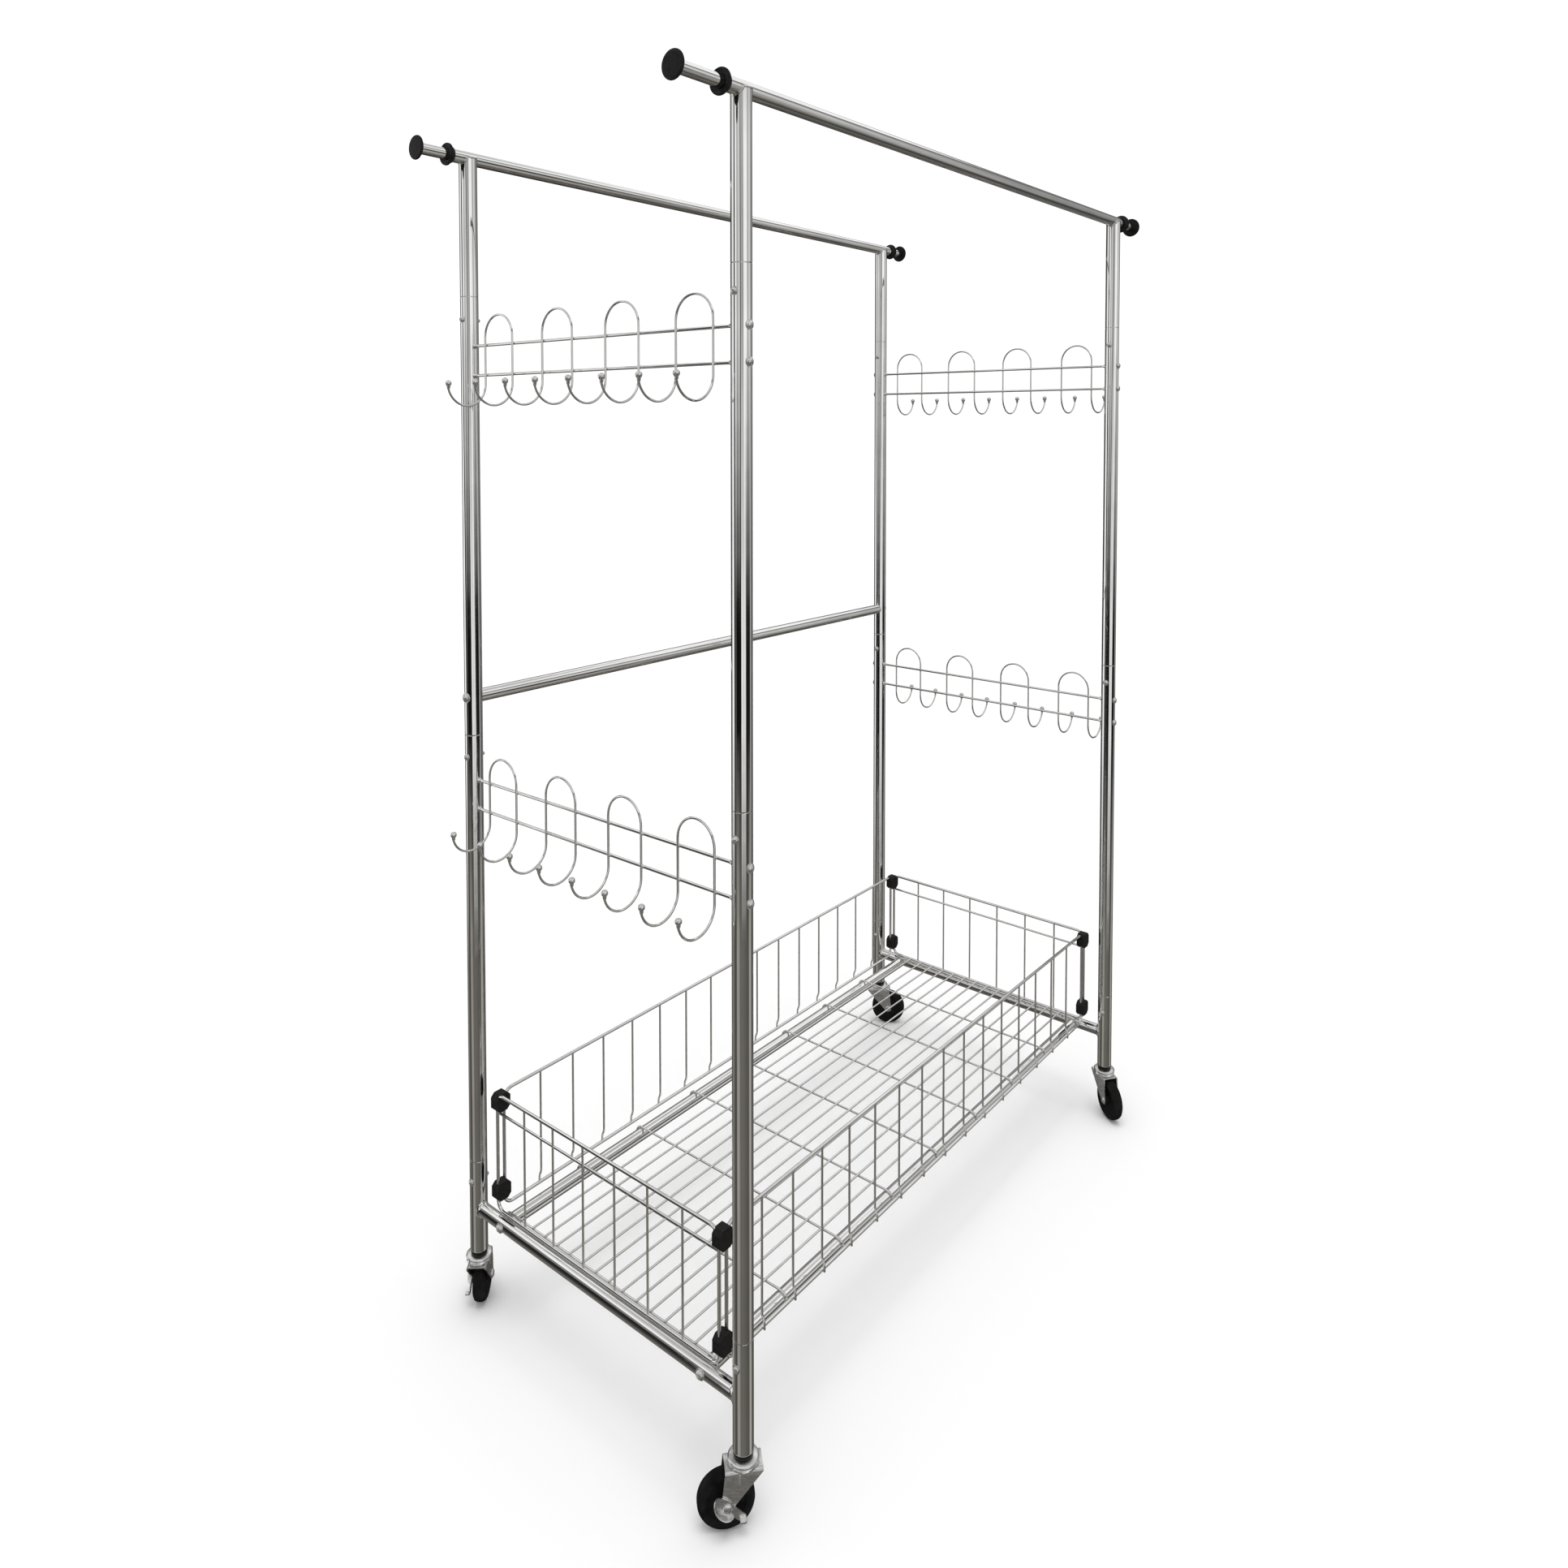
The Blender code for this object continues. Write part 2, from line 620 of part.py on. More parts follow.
def axle_place(y_side, x_side):
    turn = math.radians(SWIVEL_REST[y_side, x_side])
    trail = Vector((math.cos(turn), math.sin(turn), 0)) * CASTOR_TRAIL
    return post_axis(y_side, x_side, AXLE_HEIGHT) + trail


def castor_wheel(y_side, x_side, fork):
    half = WHEEL_WIDTH / 2
    bore = AXLE_RADIUS + GAP
    hub = FORK_INSIDE / 2 - 0.6 * MM
    half_profile = [
        (bore, hub),
        (8 * MM, hub),
        (11 * MM, half - 1.5 * MM),
        (WHEEL_RADIUS - 3 * MM, half),
        (WHEEL_RADIUS, half - 3.5 * MM),
    ]
    profile = half_profile + [(radius, -side) for radius, side in reversed(half_profile)]
    turn = math.radians(SWIVEL_REST[y_side, x_side])
    wheel = turned(profile, WHEEL_SIDES)
    # A flat of the tread faces down: turned() starts half a step round.
    wheel = moved(wheel, turn=math.pi / 2, axis="X")
    place = axle_place(y_side, x_side)
    wheel = moved(wheel, place, turn)
    node(f"castor_wheel_{y_side}_{x_side}", wheel, "black_rubber", place, fork)


def brake_lever(y_side, x_side, fork):
    """A stamped oval pedal on the long end of the axle, with a thin arm that ends in a tab."""
    plane = FORK_INSIDE / 2 + FORK_PLATE + GAP + LEVER_PLATE / 2
    oval = [(PEDAL[0] / 2 * x, PEDAL[1] / 2 * z) for x, z in arc((0, 0), 1, 0, 345, 23)]
    pad = moved(plate(oval, LEVER_PLATE), turn=-PEDAL_TILT, axis="Y")
    lip = block((20 * MM, 8 * MM, 1.6 * MM), (0, 3.5 * MM, -7.4 * MM), 0.4 * MM)
    lip = moved(lip, turn=-PEDAL_TILT, axis="Y")
    middle = (PEDAL_PLACE[0], plane, PEDAL_PLACE[1])
    outline = [(-3, 3), (-10, 1), (-23, -11), (-22, -16), (-15, -17), (-1, -6)]
    arm = moved(plate([(x * MM, z * MM) for x, z in outline], LEVER_PLATE), (0, plane, 0))
    tab = block((7 * MM, 6 * MM, 1.6 * MM), (-18.5 * MM, plane + 2.5 * MM, -15.2 * MM), 0.4 * MM)
    arm = joined([arm, moved(pad, middle), moved(lip, middle), tab])
    hole = moved(turned(rod_profile(AXLE_RADIUS + GAP, 0, 2 * plane)), turn=-math.pi / 2, axis="X")
    turn = math.radians(SWIVEL_REST[y_side, x_side])
    place = axle_place(y_side, x_side)
    lever = moved(cut(arm, [hole]), place, turn)
    node(f"brake_lever_{y_side}_{x_side}", lever, "zinc", place, fork)


def castor(y_side, x_side):
    castor_stem(y_side, x_side)
    fork = castor_fork(y_side, x_side)
    castor_wheel(y_side, x_side, fork)
    if x_side == BRAKED_END:
        brake_lever(y_side, x_side, fork)


# ---------------------------------------------------------------- the whole rack


def centre_footprint():
    """Shifts the rack so that the middle of its footprint is the origin."""
    bpy.context.view_layer.update()
    points = [obj.matrix_world @ vertex.co for obj in bpy.data.objects for vertex in obj.data.vertices]
    shift = Vector()
    for side in (0, 1):
        values = [point[side] for point in points]
        shift[side] = (min(values) + max(values)) / 2
    for obj in bpy.data.objects:
        if obj.parent is None:
            obj.location -= shift


def main():
    clear_scene()
    for y_side in Y_SIDES:
        top_rail(y_side)
        shelf_tube(y_side)
    for x_side in X_SIDES:
        base_frame(x_side)
        for level in RACK_TOP_WIRE:
            hook_rack(level, x_side)
    for corner in CORNERS:
        upper_post(*corner)
        lower_post(*corner)
        rail_collar(*corner)
        extension_rod(*corner)
        castor(*corner)
    mid_rail()
    fences()
    basket_floor()
    corner_clips()
    centre_footprint()


main()
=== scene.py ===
"""The finished look of a rolling double-rail garment rack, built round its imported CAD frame."""

import json
import math
import random

import bmesh
import bpy
from mathutils import Matrix, Vector


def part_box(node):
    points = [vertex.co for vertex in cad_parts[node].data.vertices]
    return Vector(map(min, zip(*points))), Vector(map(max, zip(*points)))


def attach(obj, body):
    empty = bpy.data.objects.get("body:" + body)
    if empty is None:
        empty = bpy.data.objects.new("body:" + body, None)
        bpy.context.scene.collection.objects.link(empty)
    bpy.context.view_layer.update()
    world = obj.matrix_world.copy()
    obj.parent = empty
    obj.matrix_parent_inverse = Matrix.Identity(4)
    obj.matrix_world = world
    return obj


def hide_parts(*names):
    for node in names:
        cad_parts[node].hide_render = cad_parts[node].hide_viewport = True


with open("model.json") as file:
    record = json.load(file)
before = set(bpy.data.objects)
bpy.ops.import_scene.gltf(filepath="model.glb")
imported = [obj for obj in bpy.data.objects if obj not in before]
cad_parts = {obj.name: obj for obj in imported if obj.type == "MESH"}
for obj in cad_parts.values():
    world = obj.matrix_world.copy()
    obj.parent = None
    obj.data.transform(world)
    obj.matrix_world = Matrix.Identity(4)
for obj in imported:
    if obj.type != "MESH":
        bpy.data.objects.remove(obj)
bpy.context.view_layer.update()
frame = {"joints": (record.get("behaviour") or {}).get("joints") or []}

MM = 0.001
X_SIDES = {"left": -1, "right": 1}
Y_SIDES = {"front": -1, "rear": 1}
CORNERS = [(y_side, x_side) for y_side in Y_SIDES for x_side in X_SIDES]
JOINTS = {joint["name"]: joint for joint in frame["joints"]}


def centre(node):
    low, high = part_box(node)
    return (low + high) / 2


def joint_point(name):
    return Vector(JOINTS[name]["pos_m"])


# ---------------------------------------------------------------- places, from the frame

POSTS = {corner: centre("lower_post_%s_%s" % corner) for corner in CORNERS}
MIDDLE = sum(POSTS.values(), Vector()) / 4
LENGTH = POSTS["front", "right"].x - POSTS["front", "left"].x
WIDTH = POSTS["rear", "left"].y - POSTS["front", "left"].y
LEG_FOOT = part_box("base_frame_left")[0].z
LOW_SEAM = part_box("base_frame_left")[1].z
MID_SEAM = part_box("lower_post_front_left")[1].z
TOP_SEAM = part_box("upper_post_front_left")[1].z
RAIL_HEIGHT = centre("extension_rod_front_left").z
MID_RAIL_HEIGHT = centre("mid_rail").z
CROSS_HEIGHT = centre("shelf_tube_front").z
SHELF_TUBE_Y = {y_side: centre(f"shelf_tube_{y_side}").y for y_side in Y_SIDES}

# Round sections: outer radius, bore radius
POST = (12.7 * MM, 11.2 * MM)
SPIGOT = (10.9 * MM, 9.7 * MM)
RAIL = (9.5 * MM, 8.5 * MM)
ROD = (8.0 * MM, 7.0 * MM)
SPIGOT_LENGTH = 48 * MM
SEAM_GAP = 0.35 * MM
EDGE = 0.45 * MM  # rounding of a cut tube's rim
TUBE_SIDES = 48

# Wire radii
FRAME_WIRE = 2.4 * MM
THIN_WIRE = 1.55 * MM
RACK_WIRE = 2.1 * MM

# Hook racks
RACK_TOP = {"upper": TOP_SEAM - 70 * MM, "lower": MID_SEAM - 66 * MM}
RACK_WIRE_STEP = 42 * MM
ARCH_COUNT = 4
ARCH_PITCH = 125.5 * MM
ARCH_WIDTH = 61 * MM
ARCH_RISE = 10.5 * MM
HOOK_DROP = 13 * MM
HOOK_RADIUS = 31 * MM
HOOK_END = -17  # where the bend ends, in degrees from level
BALL_RADIUS = 4.3 * MM
BALL_DROP = 0.6 * MM  # below the bend's middle
BALL_COLLAR = ((4.2, 2.4), (6.4, 2.4), (6.8, 2.1))  # depth below the ball's middle and radius, in mm

# Basket
FENCE_TOP = 336 * MM
END_FENCE_INSET = 4 * MM
LONG_FENCE_INSET = 41 * MM
FENCE_CORNER_INSET = {"end": 42 * MM, "long": 16 * MM}
FENCE_BOTTOM = {"end": CROSS_HEIGHT + RAIL[0] + 2.8 * MM, "long": 165 * MM}
FENCE_CORNER_RADIUS = 14 * MM
SECOND_WIRE = 308 * MM
FENCE_PITCH = 62.5 * MM
FENCE_UPRIGHTS = {"end": 6, "long": 15}
GRID_LONG_WIRES = 14
GRID_LONG_PITCH = 26.5 * MM
GRID_CROSS_WIRES = 7
GRID_END_INSET = 11 * MM

# Castors
AXLE_HEIGHT = joint_point("wheel_spin_front_left").z
CROWN_TOP = 76.5 * MM
CROWN_HALF = 22.5 * MM
RACE_TOP = CROWN_TOP + 3 * MM
FORK_HALF = 14.3 * MM
FORK_PLATE = 2 * MM
FORK_ROUND = 6.8 * MM
PEDAL = (15.5 * MM, 8.5 * MM)
PEDAL_PLACE = (3 * MM, 2 * MM)
PEDAL_TILT = math.radians(42)


# ---------------------------------------------------------------- materials


def rgba(color):
    """A colour with its alpha, from a grey or three numbers."""
    return (*color, 1) if isinstance(color, tuple) else (color, color, color, 1)


class Graph:
    """A node tree, with short calls to add and link nodes."""

    def __init__(self, tree):
        self.tree = tree

    def add(self, kind, **values):
        node = self.tree.nodes.new(kind)
        for key, value in values.items():
            setattr(node, key, value)
        return node

    def link(self, source, target):
        self.tree.links.new(source, target)

    def spread(self, value, low, high, source=(0.3, 0.7)):
        """Maps a range of the value, the middle of a noise's if not given, to low..high."""
        node = self.add("ShaderNodeMapRange")
        for key, number in zip(("From Min", "From Max", "To Min", "To Max"), (*source, low, high)):
            node.inputs[key].default_value = number
        self.link(value, node.inputs["Value"])
        return node.outputs["Result"]

    def ramp(self, value, stops):
        """stops: (place, colour)."""
        node = self.add("ShaderNodeValToRGB")
        elements = node.color_ramp.elements
        for element, (place, color) in zip(elements, (stops[0], stops[-1])):
            element.position = place
            element.color = rgba(color)
        for place, color in stops[1:-1]:
            elements.new(place).color = rgba(color)
        self.link(value, node.inputs["Fac"])
        return node.outputs["Color"]


class MaterialGraph(Graph):
    def __init__(self, name):
        self.material = bpy.data.materials.new(name)
        self.material.use_nodes = True
        super().__init__(self.material.node_tree)
        self.shader = self.tree.nodes["Principled BSDF"]
        self.place = self.add("ShaderNodeTexCoord").outputs["Object"]

    def noise(self, scale, detail=3.0, stretch=(1, 1, 1)):
        mapping = self.add("ShaderNodeMapping")
        mapping.inputs["Scale"].default_value = stretch
        self.link(self.place, mapping.inputs["Vector"])
        noise = self.add("ShaderNodeTexNoise")
        noise.inputs["Scale"].default_value = scale
        noise.inputs["Detail"].default_value = detail
        self.link(mapping.outputs[0], noise.inputs["Vector"])
        return noise.outputs["Fac"]

    def paint(self, value, dark, light):
        self.link(self.ramp(value, ((0.3, dark), (0.7, light))), self.shader.inputs["Base Color"])

    def roughen(self, value, low, high, source=(0.3, 0.7)):
        self.link(self.spread(value, low, high, source), self.shader.inputs["Roughness"])

    def bump(self, layers):
        """layers: (value, strength, depth in metres), from the coarsest to the finest."""
        normal = None
        for value, strength, depth in layers:
            bump = self.add("ShaderNodeBump")
            bump.inputs["Strength"].default_value = strength
            bump.inputs["Distance"].default_value = depth
            self.link(value, bump.inputs["Height"])
            if normal:
                self.link(normal, bump.inputs["Normal"])
            normal = bump.outputs["Normal"]
        self.link(normal, self.shader.inputs["Normal"])

    def set(self, **values):
        for key, value in values.items():
            self.shader.inputs[key.replace("_", " ")].default_value = value


def chrome_material():
    """Mirror plate over tube that isn't quite straight, with faint wipe marks."""
    g = MaterialGraph("chrome_plate")
    g.set(Metallic=1.0)
    g.paint(g.noise(14, 5), (0.80, 0.795, 0.78), (0.90, 0.90, 0.89))
    g.roughen(g.noise(60, 6, (1, 1, 0.25)), 0.035, 0.12, (0.4, 0.8))
    g.bump([(g.noise(22, 1), 0.25, 0.9 * MM), (g.noise(160, 2), 0.12, 0.08 * MM)])
    return g.material


def weld_material():
    """Chrome over the lumpy metal of a weld."""
    g = MaterialGraph("plated_weld")
    g.set(Metallic=1.0)
    g.paint(g.noise(90, 4), (0.55, 0.54, 0.52), (0.88, 0.88, 0.86))
    g.roughen(g.noise(120, 4), 0.08, 0.3)
    g.bump([(g.noise(260, 3), 0.6, 0.5 * MM), (g.noise(900, 2), 0.25, 0.1 * MM)])
    return g.material


def zinc_material():
    """Bright zinc on pressed steel: satin, a little cloudy, with fine drawing marks."""
    g = MaterialGraph("zinc_plate")
    g.set(Metallic=1.0)
    g.paint(g.noise(70, 5), (0.70, 0.70, 0.69), (0.95, 0.95, 0.94))
    g.roughen(g.noise(140, 5, (1, 1, 4)), 0.18, 0.42)
    g.bump([(g.noise(120, 2), 0.2, 0.2 * MM), (g.noise(1500, 3, (1, 1, 6)), 0.12, 0.05 * MM)])
    return g.material


def plastic_material():
    """Moulded black plastic with a fine spark texture."""
    g = MaterialGraph("black_moulded_plastic")
    g.set(Metallic=0.0, Specular_IOR_Level=0.18)
    g.paint(g.noise(220, 3), 0.004, 0.012)
    g.roughen(g.noise(500, 3), 0.36, 0.52)
    g.bump([(g.noise(1400, 2), 0.35, 0.12 * MM)])
    return g.material


def rubber_material():
    """Black wheel rubber, faintly mottled at random."""
    g = MaterialGraph("black_wheel_rubber")
    g.set(Metallic=0.0, Specular_IOR_Level=0.08)
    g.paint(g.noise(55, 6), 0.003, 0.014)
    g.roughen(g.noise(80, 5), 0.42, 0.68)
    g.bump([(g.noise(240, 3), 0.25, 0.2 * MM), (g.noise(2200, 2), 0.3, 0.08 * MM)])
    return g.material


MATERIALS = {
    "chrome": chrome_material(),
    "weld": weld_material(),
    "zinc": zinc_material(),
    "black_plastic": plastic_material(),
    "black_rubber": rubber_material(),
}
SLOTS = {"weld": "chrome"}


# ---------------------------------------------------------------- mesh tools


def add_rings(bm, rings, closed=False):
    """Joins rings of points with faces; the ends are capped unless the rings close on themselves."""
    rows = [[bm.verts.new(point) for point in ring] for ring in rings]
    if closed:
        rows.append(rows[0])
    for row, following in zip(rows, rows[1:]):
        for index in range(len(row)):
            after = (index + 1) % len(row)
            bm.faces.new((row[index], row[after], following[after], following[index]))
    if not closed:
        bm.faces.new(rows[0])
        bm.faces.new(rows[-1])


def circle(centre_point, side, up, radius, sides):
    for step in range(sides):
        angle = math.tau * step / sides
        yield centre_point + (side * math.cos(angle) + up * math.sin(angle)) * radius


def level_ring(middle, radius, sides):
    return list(circle(Vector(middle), Vector((1, 0, 0)), Vector((0, 1, 0)), radius, sides))


def in_mm(*points):
    return [(across * MM, up * MM) for across, up in points]


def add_lathe(bm, profile, place=Matrix(), sides=TUBE_SIDES):
    """A solid of revolution about Z from (radius, height) points that start and end on the axis."""
    rings = []
    for radius, height in profile:
        ring = level_ring((0, 0, height), max(radius, 1e-7), sides)
        rings.append([place @ point for point in ring])
    add_rings(bm, rings)


def add_ring_lathe(bm, profile, place=Matrix(), sides=TUBE_SIDES):
    """A hollow solid of revolution about Z from a closed (radius, height) outline."""
    rings = []
    for step in range(sides):
        turn = Matrix.Rotation(math.tau * step / sides, 4, "Z")
        rings.append([place @ turn @ Vector((radius, 0, height)) for radius, height in profile])
    add_rings(bm, rings, closed=True)


def add_wire(bm, path, radius, sides=12, closed=False, swell=None):
    """A round wire along a path; swell gives each point's share of the radius."""
    path = [Vector(point) for point in path]
    count = len(path)
    rings = []
    side = None
    for index, point in enumerate(path):
        before = path[(index - 1) % count] if closed or index else point
        after = path[(index + 1) % count] if closed or index < count - 1 else point
        along = (after - before).normalized()
        if side is None:
            side = along.orthogonal().normalized()
        side = (side - along * side.dot(along)).normalized()
        share = swell[index] if swell else 1
        rings.append(list(circle(point, side, along.cross(side), radius * share, sides)))
    add_rings(bm, rings, closed)


def add_rod(bm, start, end, radius, sides=12):
    """A straight wire with softly rounded ends."""
    start, end = Vector(start), Vector(end)
    along = (end - start).normalized()
    lead = radius * 0.35
    path = [start + along * lead * step for step in range(4)]
    path += [end - along * lead * step for step in (3, 2, 1, 0)]
    add_wire(bm, path, radius, sides, swell=[0.55, 0.88, 1, 1, 1, 1, 0.88, 0.55])


def add_plate(bm, outline, thickness, place=Matrix()):
    """A flat plate in the XZ plane, its thickness centred on y = 0."""
    rings = [[place @ Vector((x, side * thickness / 2, z)) for x, z in outline] for side in (-1, 1)]
    add_rings(bm, rings)


def add_blob(bm, middle, radii):
    """A small rounded lump, such as a spot weld."""
    place = Matrix.Translation(middle) @ Matrix.Diagonal((*radii, 1))
    bmesh.ops.create_icosphere(bm, subdivisions=2, radius=1, matrix=place)


def rounded(points, radius, steps=3, closed=False):
    """A polyline whose corners are turned into short curves."""
    points = [Vector(point) for point in points]
    count = len(points)
    result = []
    for index, point in enumerate(points):
        if not closed and index in (0, count - 1):
            result.append(point)
            continue
        before = points[(index - 1) % count] - point
        after = points[(index + 1) % count] - point
        start = before.normalized() * min(radius, before.length * 0.45)
        end = after.normalized() * min(radius, after.length * 0.45)
        for step in range(steps + 1):
            share = step / steps
            result.append(point + start * (1 - share) ** 2 + end * share**2)
    return supported(result, radius, closed)


def supported(points, reach, closed):
    """Adds a point near each end of every long run, so that smooth shading stays flat along it."""
    result = []
    runs = len(points) if closed else len(points) - 1
    for index, point in enumerate(points):
        result.append(point)
        if index == runs:
            break
        run = points[(index + 1) % len(points)] - point
        if run.length > 6 * reach:
            result += [point + run.normalized() * reach, point + run - run.normalized() * reach]
    return result


def arc(centre_point, radius, start, end, steps):
    """(across, up) points on a circle, angles in degrees."""
    for step in range(steps + 1):
        angle = math.radians(start + (end - start) * step / steps)
        yield centre_point[0] + radius * math.cos(angle), centre_point[1] + radius * math.sin(angle)


def aimed(place, direction):
    """A matrix that puts local +Z along a direction at a place."""
    turn = Vector((0, 0, 1)).rotation_difference(Vector(direction)).to_matrix().to_4x4()
    return Matrix.Translation(place) @ turn


def move(matrix, *meshes):
    for bm in meshes:
        bmesh.ops.transform(bm, matrix=matrix, verts=bm.verts)


def finished_mesh(bm, name, kind):
    bmesh.ops.remove_doubles(bm, verts=bm.verts, dist=2e-6)
    bmesh.ops.dissolve_degenerate(bm, edges=bm.edges, dist=1e-7)
    bmesh.ops.recalc_face_normals(bm, faces=bm.faces)
    mesh = bpy.data.meshes.new(name)
    bm.to_mesh(mesh)
    bm.free()
    mesh.materials.append(MATERIALS[kind])
    mesh.shade_smooth()
    mesh.set_sharp_from_angle(angle=math.radians(40))
    return mesh


def piece(name, bm, kind, body="frame", stands_for=()):
    """Turns a bmesh into a named piece that rides on a body."""
    obj = bpy.data.objects.new(name, finished_mesh(bm, name, kind))
    bpy.context.scene.collection.objects.link(obj)
    SLOTS.get(kind, kind)
    if stands_for:
        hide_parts(*stands_for)
    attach(obj, body)
    return obj


def apply_boolean(bm, cutter, operation):
    """A bmesh combined with another, both freed; a new bmesh comes back."""
    objects = []
    for source in (bm, cutter):
        bmesh.ops.remove_doubles(source, verts=source.verts, dist=2e-6)
        bmesh.ops.recalc_face_normals(source, faces=source.faces)
        mesh = bpy.data.meshes.new("part")
        source.to_mesh(mesh)
        source.free()
        objects.append(bpy.data.objects.new("part", mesh))
        bpy.context.scene.collection.objects.link(objects[-1])
    modifier = objects[0].modifiers.new("combined", "BOOLEAN")
    modifier.operation = operation
    modifier.object = objects[1]
    bpy.context.view_layer.update()
    evaluated = objects[0].evaluated_get(bpy.context.evaluated_depsgraph_get())
    result = bmesh.new()
    result.from_mesh(evaluated.to_mesh())
    evaluated.to_mesh_clear()
    for obj in objects:
        bpy.data.objects.remove(obj, do_unlink=True)
    return result


def bevelled(bm, width, segments=2, angle=30):
    """Rounds the sharp edges of a bmesh."""
    sharp = [e for e in bm.edges if e.is_manifold and e.calc_face_angle(0) > math.radians(angle)]
    bmesh.ops.bevel(bm, geom=sharp, offset=width, segments=segments, affect="EDGES", clamp_overlap=True)
    return bm


# ---------------------------------------------------------------- tubes and fasteners


def pipe_outline(radii, low, high):
    """The outline of a tube's wall, with its rims rounded."""
    outer, inner = radii
    return rounded([(outer, low), (outer, high), (inner, high), (inner, low)], EDGE, 2, closed=True)


def section_outline(low, high):
    """A post section's wall with the thinner spigot below its seam."""
    corners = [
        (POST[0], low + SEAM_GAP),
        (POST[0], high),
        (POST[1], high),
        (POST[1], low + 4 * MM),
        (SPIGOT[1], low),
        (SPIGOT[1], low - SPIGOT_LENGTH),
        (SPIGOT[0], low - SPIGOT_LENGTH),
        (SPIGOT[0], low + SEAM_GAP),
    ]
    return rounded(corners, EDGE, 2, closed=True)


def add_screw(bm, place, direction, radius=5 * MM, height=3 * MM):
    """A domed head with a cross recess, on a thin washer."""
    spot = aimed(place, direction)
    washer = [(0, -0.6 * MM), (radius * 1.25, -0.6 * MM), (radius * 1.25, 0.4 * MM), (0, 0.4 * MM)]
    add_lathe(bm, rounded(washer, 0.25 * MM, 2), spot, 24)
    dome = [(radius * x, 0.5 * MM + height * z) for x, z in arc((0, 0), 1, 0, 54, 3)]
    inside = [(radius * 0.34, 0.5 * MM + height * 0.93)]
    inside += [(radius * 0.22, height * 0.45), (0, height * 0.35)]
    add_lathe(bm, [(0, 0), (radius * 0.97, 0), *dome, *inside], spot, 24)
    for turn in (0, math.pi / 2):
        slot = Matrix.Rotation(turn, 4, "Z") @ Matrix.Diagonal((radius * 0.9, 0.9 * MM, 0.5 * MM, 1))
        lift = Matrix.Translation((0, 0, height * 0.5))
        bmesh.ops.create_cube(bm, size=1, matrix=spot @ lift @ slot)


def add_cap_nut(bm, place, direction, radius=4 * MM):
    """A small domed nut on the far end of a bolt."""
    profile = [(0, -0.5 * MM), (radius, -0.5 * MM), (radius, 1.6 * MM), (radius * 0.8, 2.4 * MM)]
    profile += [(radius * 0.75, 3.2 * MM), (radius * 0.5, 4.4 * MM), (0, 4.9 * MM)]
    add_lathe(bm, rounded(profile, 0.4 * MM, 2), aimed(place, direction), 20)


def posts():
    for corner in CORNERS:
        name = "%s_%s" % corner
        axis = POSTS[corner]
        foot = Matrix.Translation((axis.x, axis.y, 0))
        for section, low, high in (("upper", MID_SEAM, TOP_SEAM), ("lower", LOW_SEAM, MID_SEAM)):
            bm = bmesh.new()
            add_ring_lathe(bm, section_outline(low, high), foot)
            node = f"{section}_post_{name}"
            piece(f"{section}_post_tube_{name}", bm, "chrome", stands_for=[node])


def seam_bolts():
    """A bolt through each seam's overlap: a cross-head on the left face, a domed nut on the right."""
    drop = 32 * MM
    for corner in CORNERS:
        axis = POSTS[corner]
        bm = bmesh.new()
        for seam in (LOW_SEAM, MID_SEAM, TOP_SEAM):
            spot = Vector((axis.x, axis.y, seam - drop))
            add_screw(bm, spot - Vector((POST[0], 0, 0)), (-1, 0, 0), 4.2 * MM, 2.4 * MM)
            add_cap_nut(bm, spot + Vector((POST[0], 0, 0)), (1, 0, 0), 3.4 * MM)
        piece("seam_bolts_%s_%s" % corner, bm, "zinc")


def saddle_path(axis, steps=72):
    """The top edge of a rail stub, where it wraps the lower half of the rail."""
    radius = POST[0] - 0.9 * MM
    for step in range(steps):
        angle = math.tau * step / steps
        across = radius * math.sin(angle)
        reach = min(abs(across), RAIL[0])
        height = RAIL_HEIGHT - math.sqrt(RAIL[0] ** 2 - reach**2)
        yield Vector((axis.x + radius * math.cos(angle), axis.y + across, height - 0.4 * MM))


def top_rails():
    rng = random.Random(7)
    for y_side in Y_SIDES:
        low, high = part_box(f"top_rail_{y_side}")
        middle = (low + high) / 2
        half = (high.x - low.x) / 2
        bm = bmesh.new()
        place = aimed((middle.x, middle.y, RAIL_HEIGHT), (1, 0, 0))
        add_ring_lathe(bm, pipe_outline(RAIL, -half, half), place)
        welds = bmesh.new()
        for x_side in X_SIDES:
            axis = POSTS[y_side, x_side]
            add_stub(bm, axis)
            path = list(saddle_path(axis))
            swell = [1 + 0.16 * rng.uniform(-1, 1) for _ in path]
            add_wire(welds, path, 1.7 * MM, 10, True, swell)
        piece(f"top_rail_tube_{y_side}", bm, "chrome", stands_for=[f"top_rail_{y_side}"])
        piece(f"top_rail_welds_{y_side}", welds, "weld")


def add_stub(bm, axis):
    """The stub below a rail: a tube whose top edge follows the rail's underside."""
    outer = POST[0]
    foot = TOP_SEAM + SEAM_GAP
    rings = []
    steps = 72
    wall = [(SPIGOT[0], TOP_SEAM - SPIGOT_LENGTH), (SPIGOT[0], foot)]
    wall += [(outer - EDGE, foot), (outer, foot + EDGE)]
    for radius, height in wall:
        rings.append(level_ring((axis.x, axis.y, height), radius, steps))
    rim = []
    for step in range(steps):
        angle = math.tau * step / steps
        across = outer * math.sin(angle)
        reach = min(abs(across), RAIL[0])
        height = RAIL_HEIGHT - math.sqrt(RAIL[0] ** 2 - reach**2)
        rim.append(Vector((axis.x + outer * math.cos(angle), axis.y + across, height)))
    rings.append(rim)
    closing = Vector((axis.x, axis.y, RAIL_HEIGHT - 1 * MM))
    rings.append([point.lerp(closing, 0.25) for point in rim])
    add_rings(bm, rings)


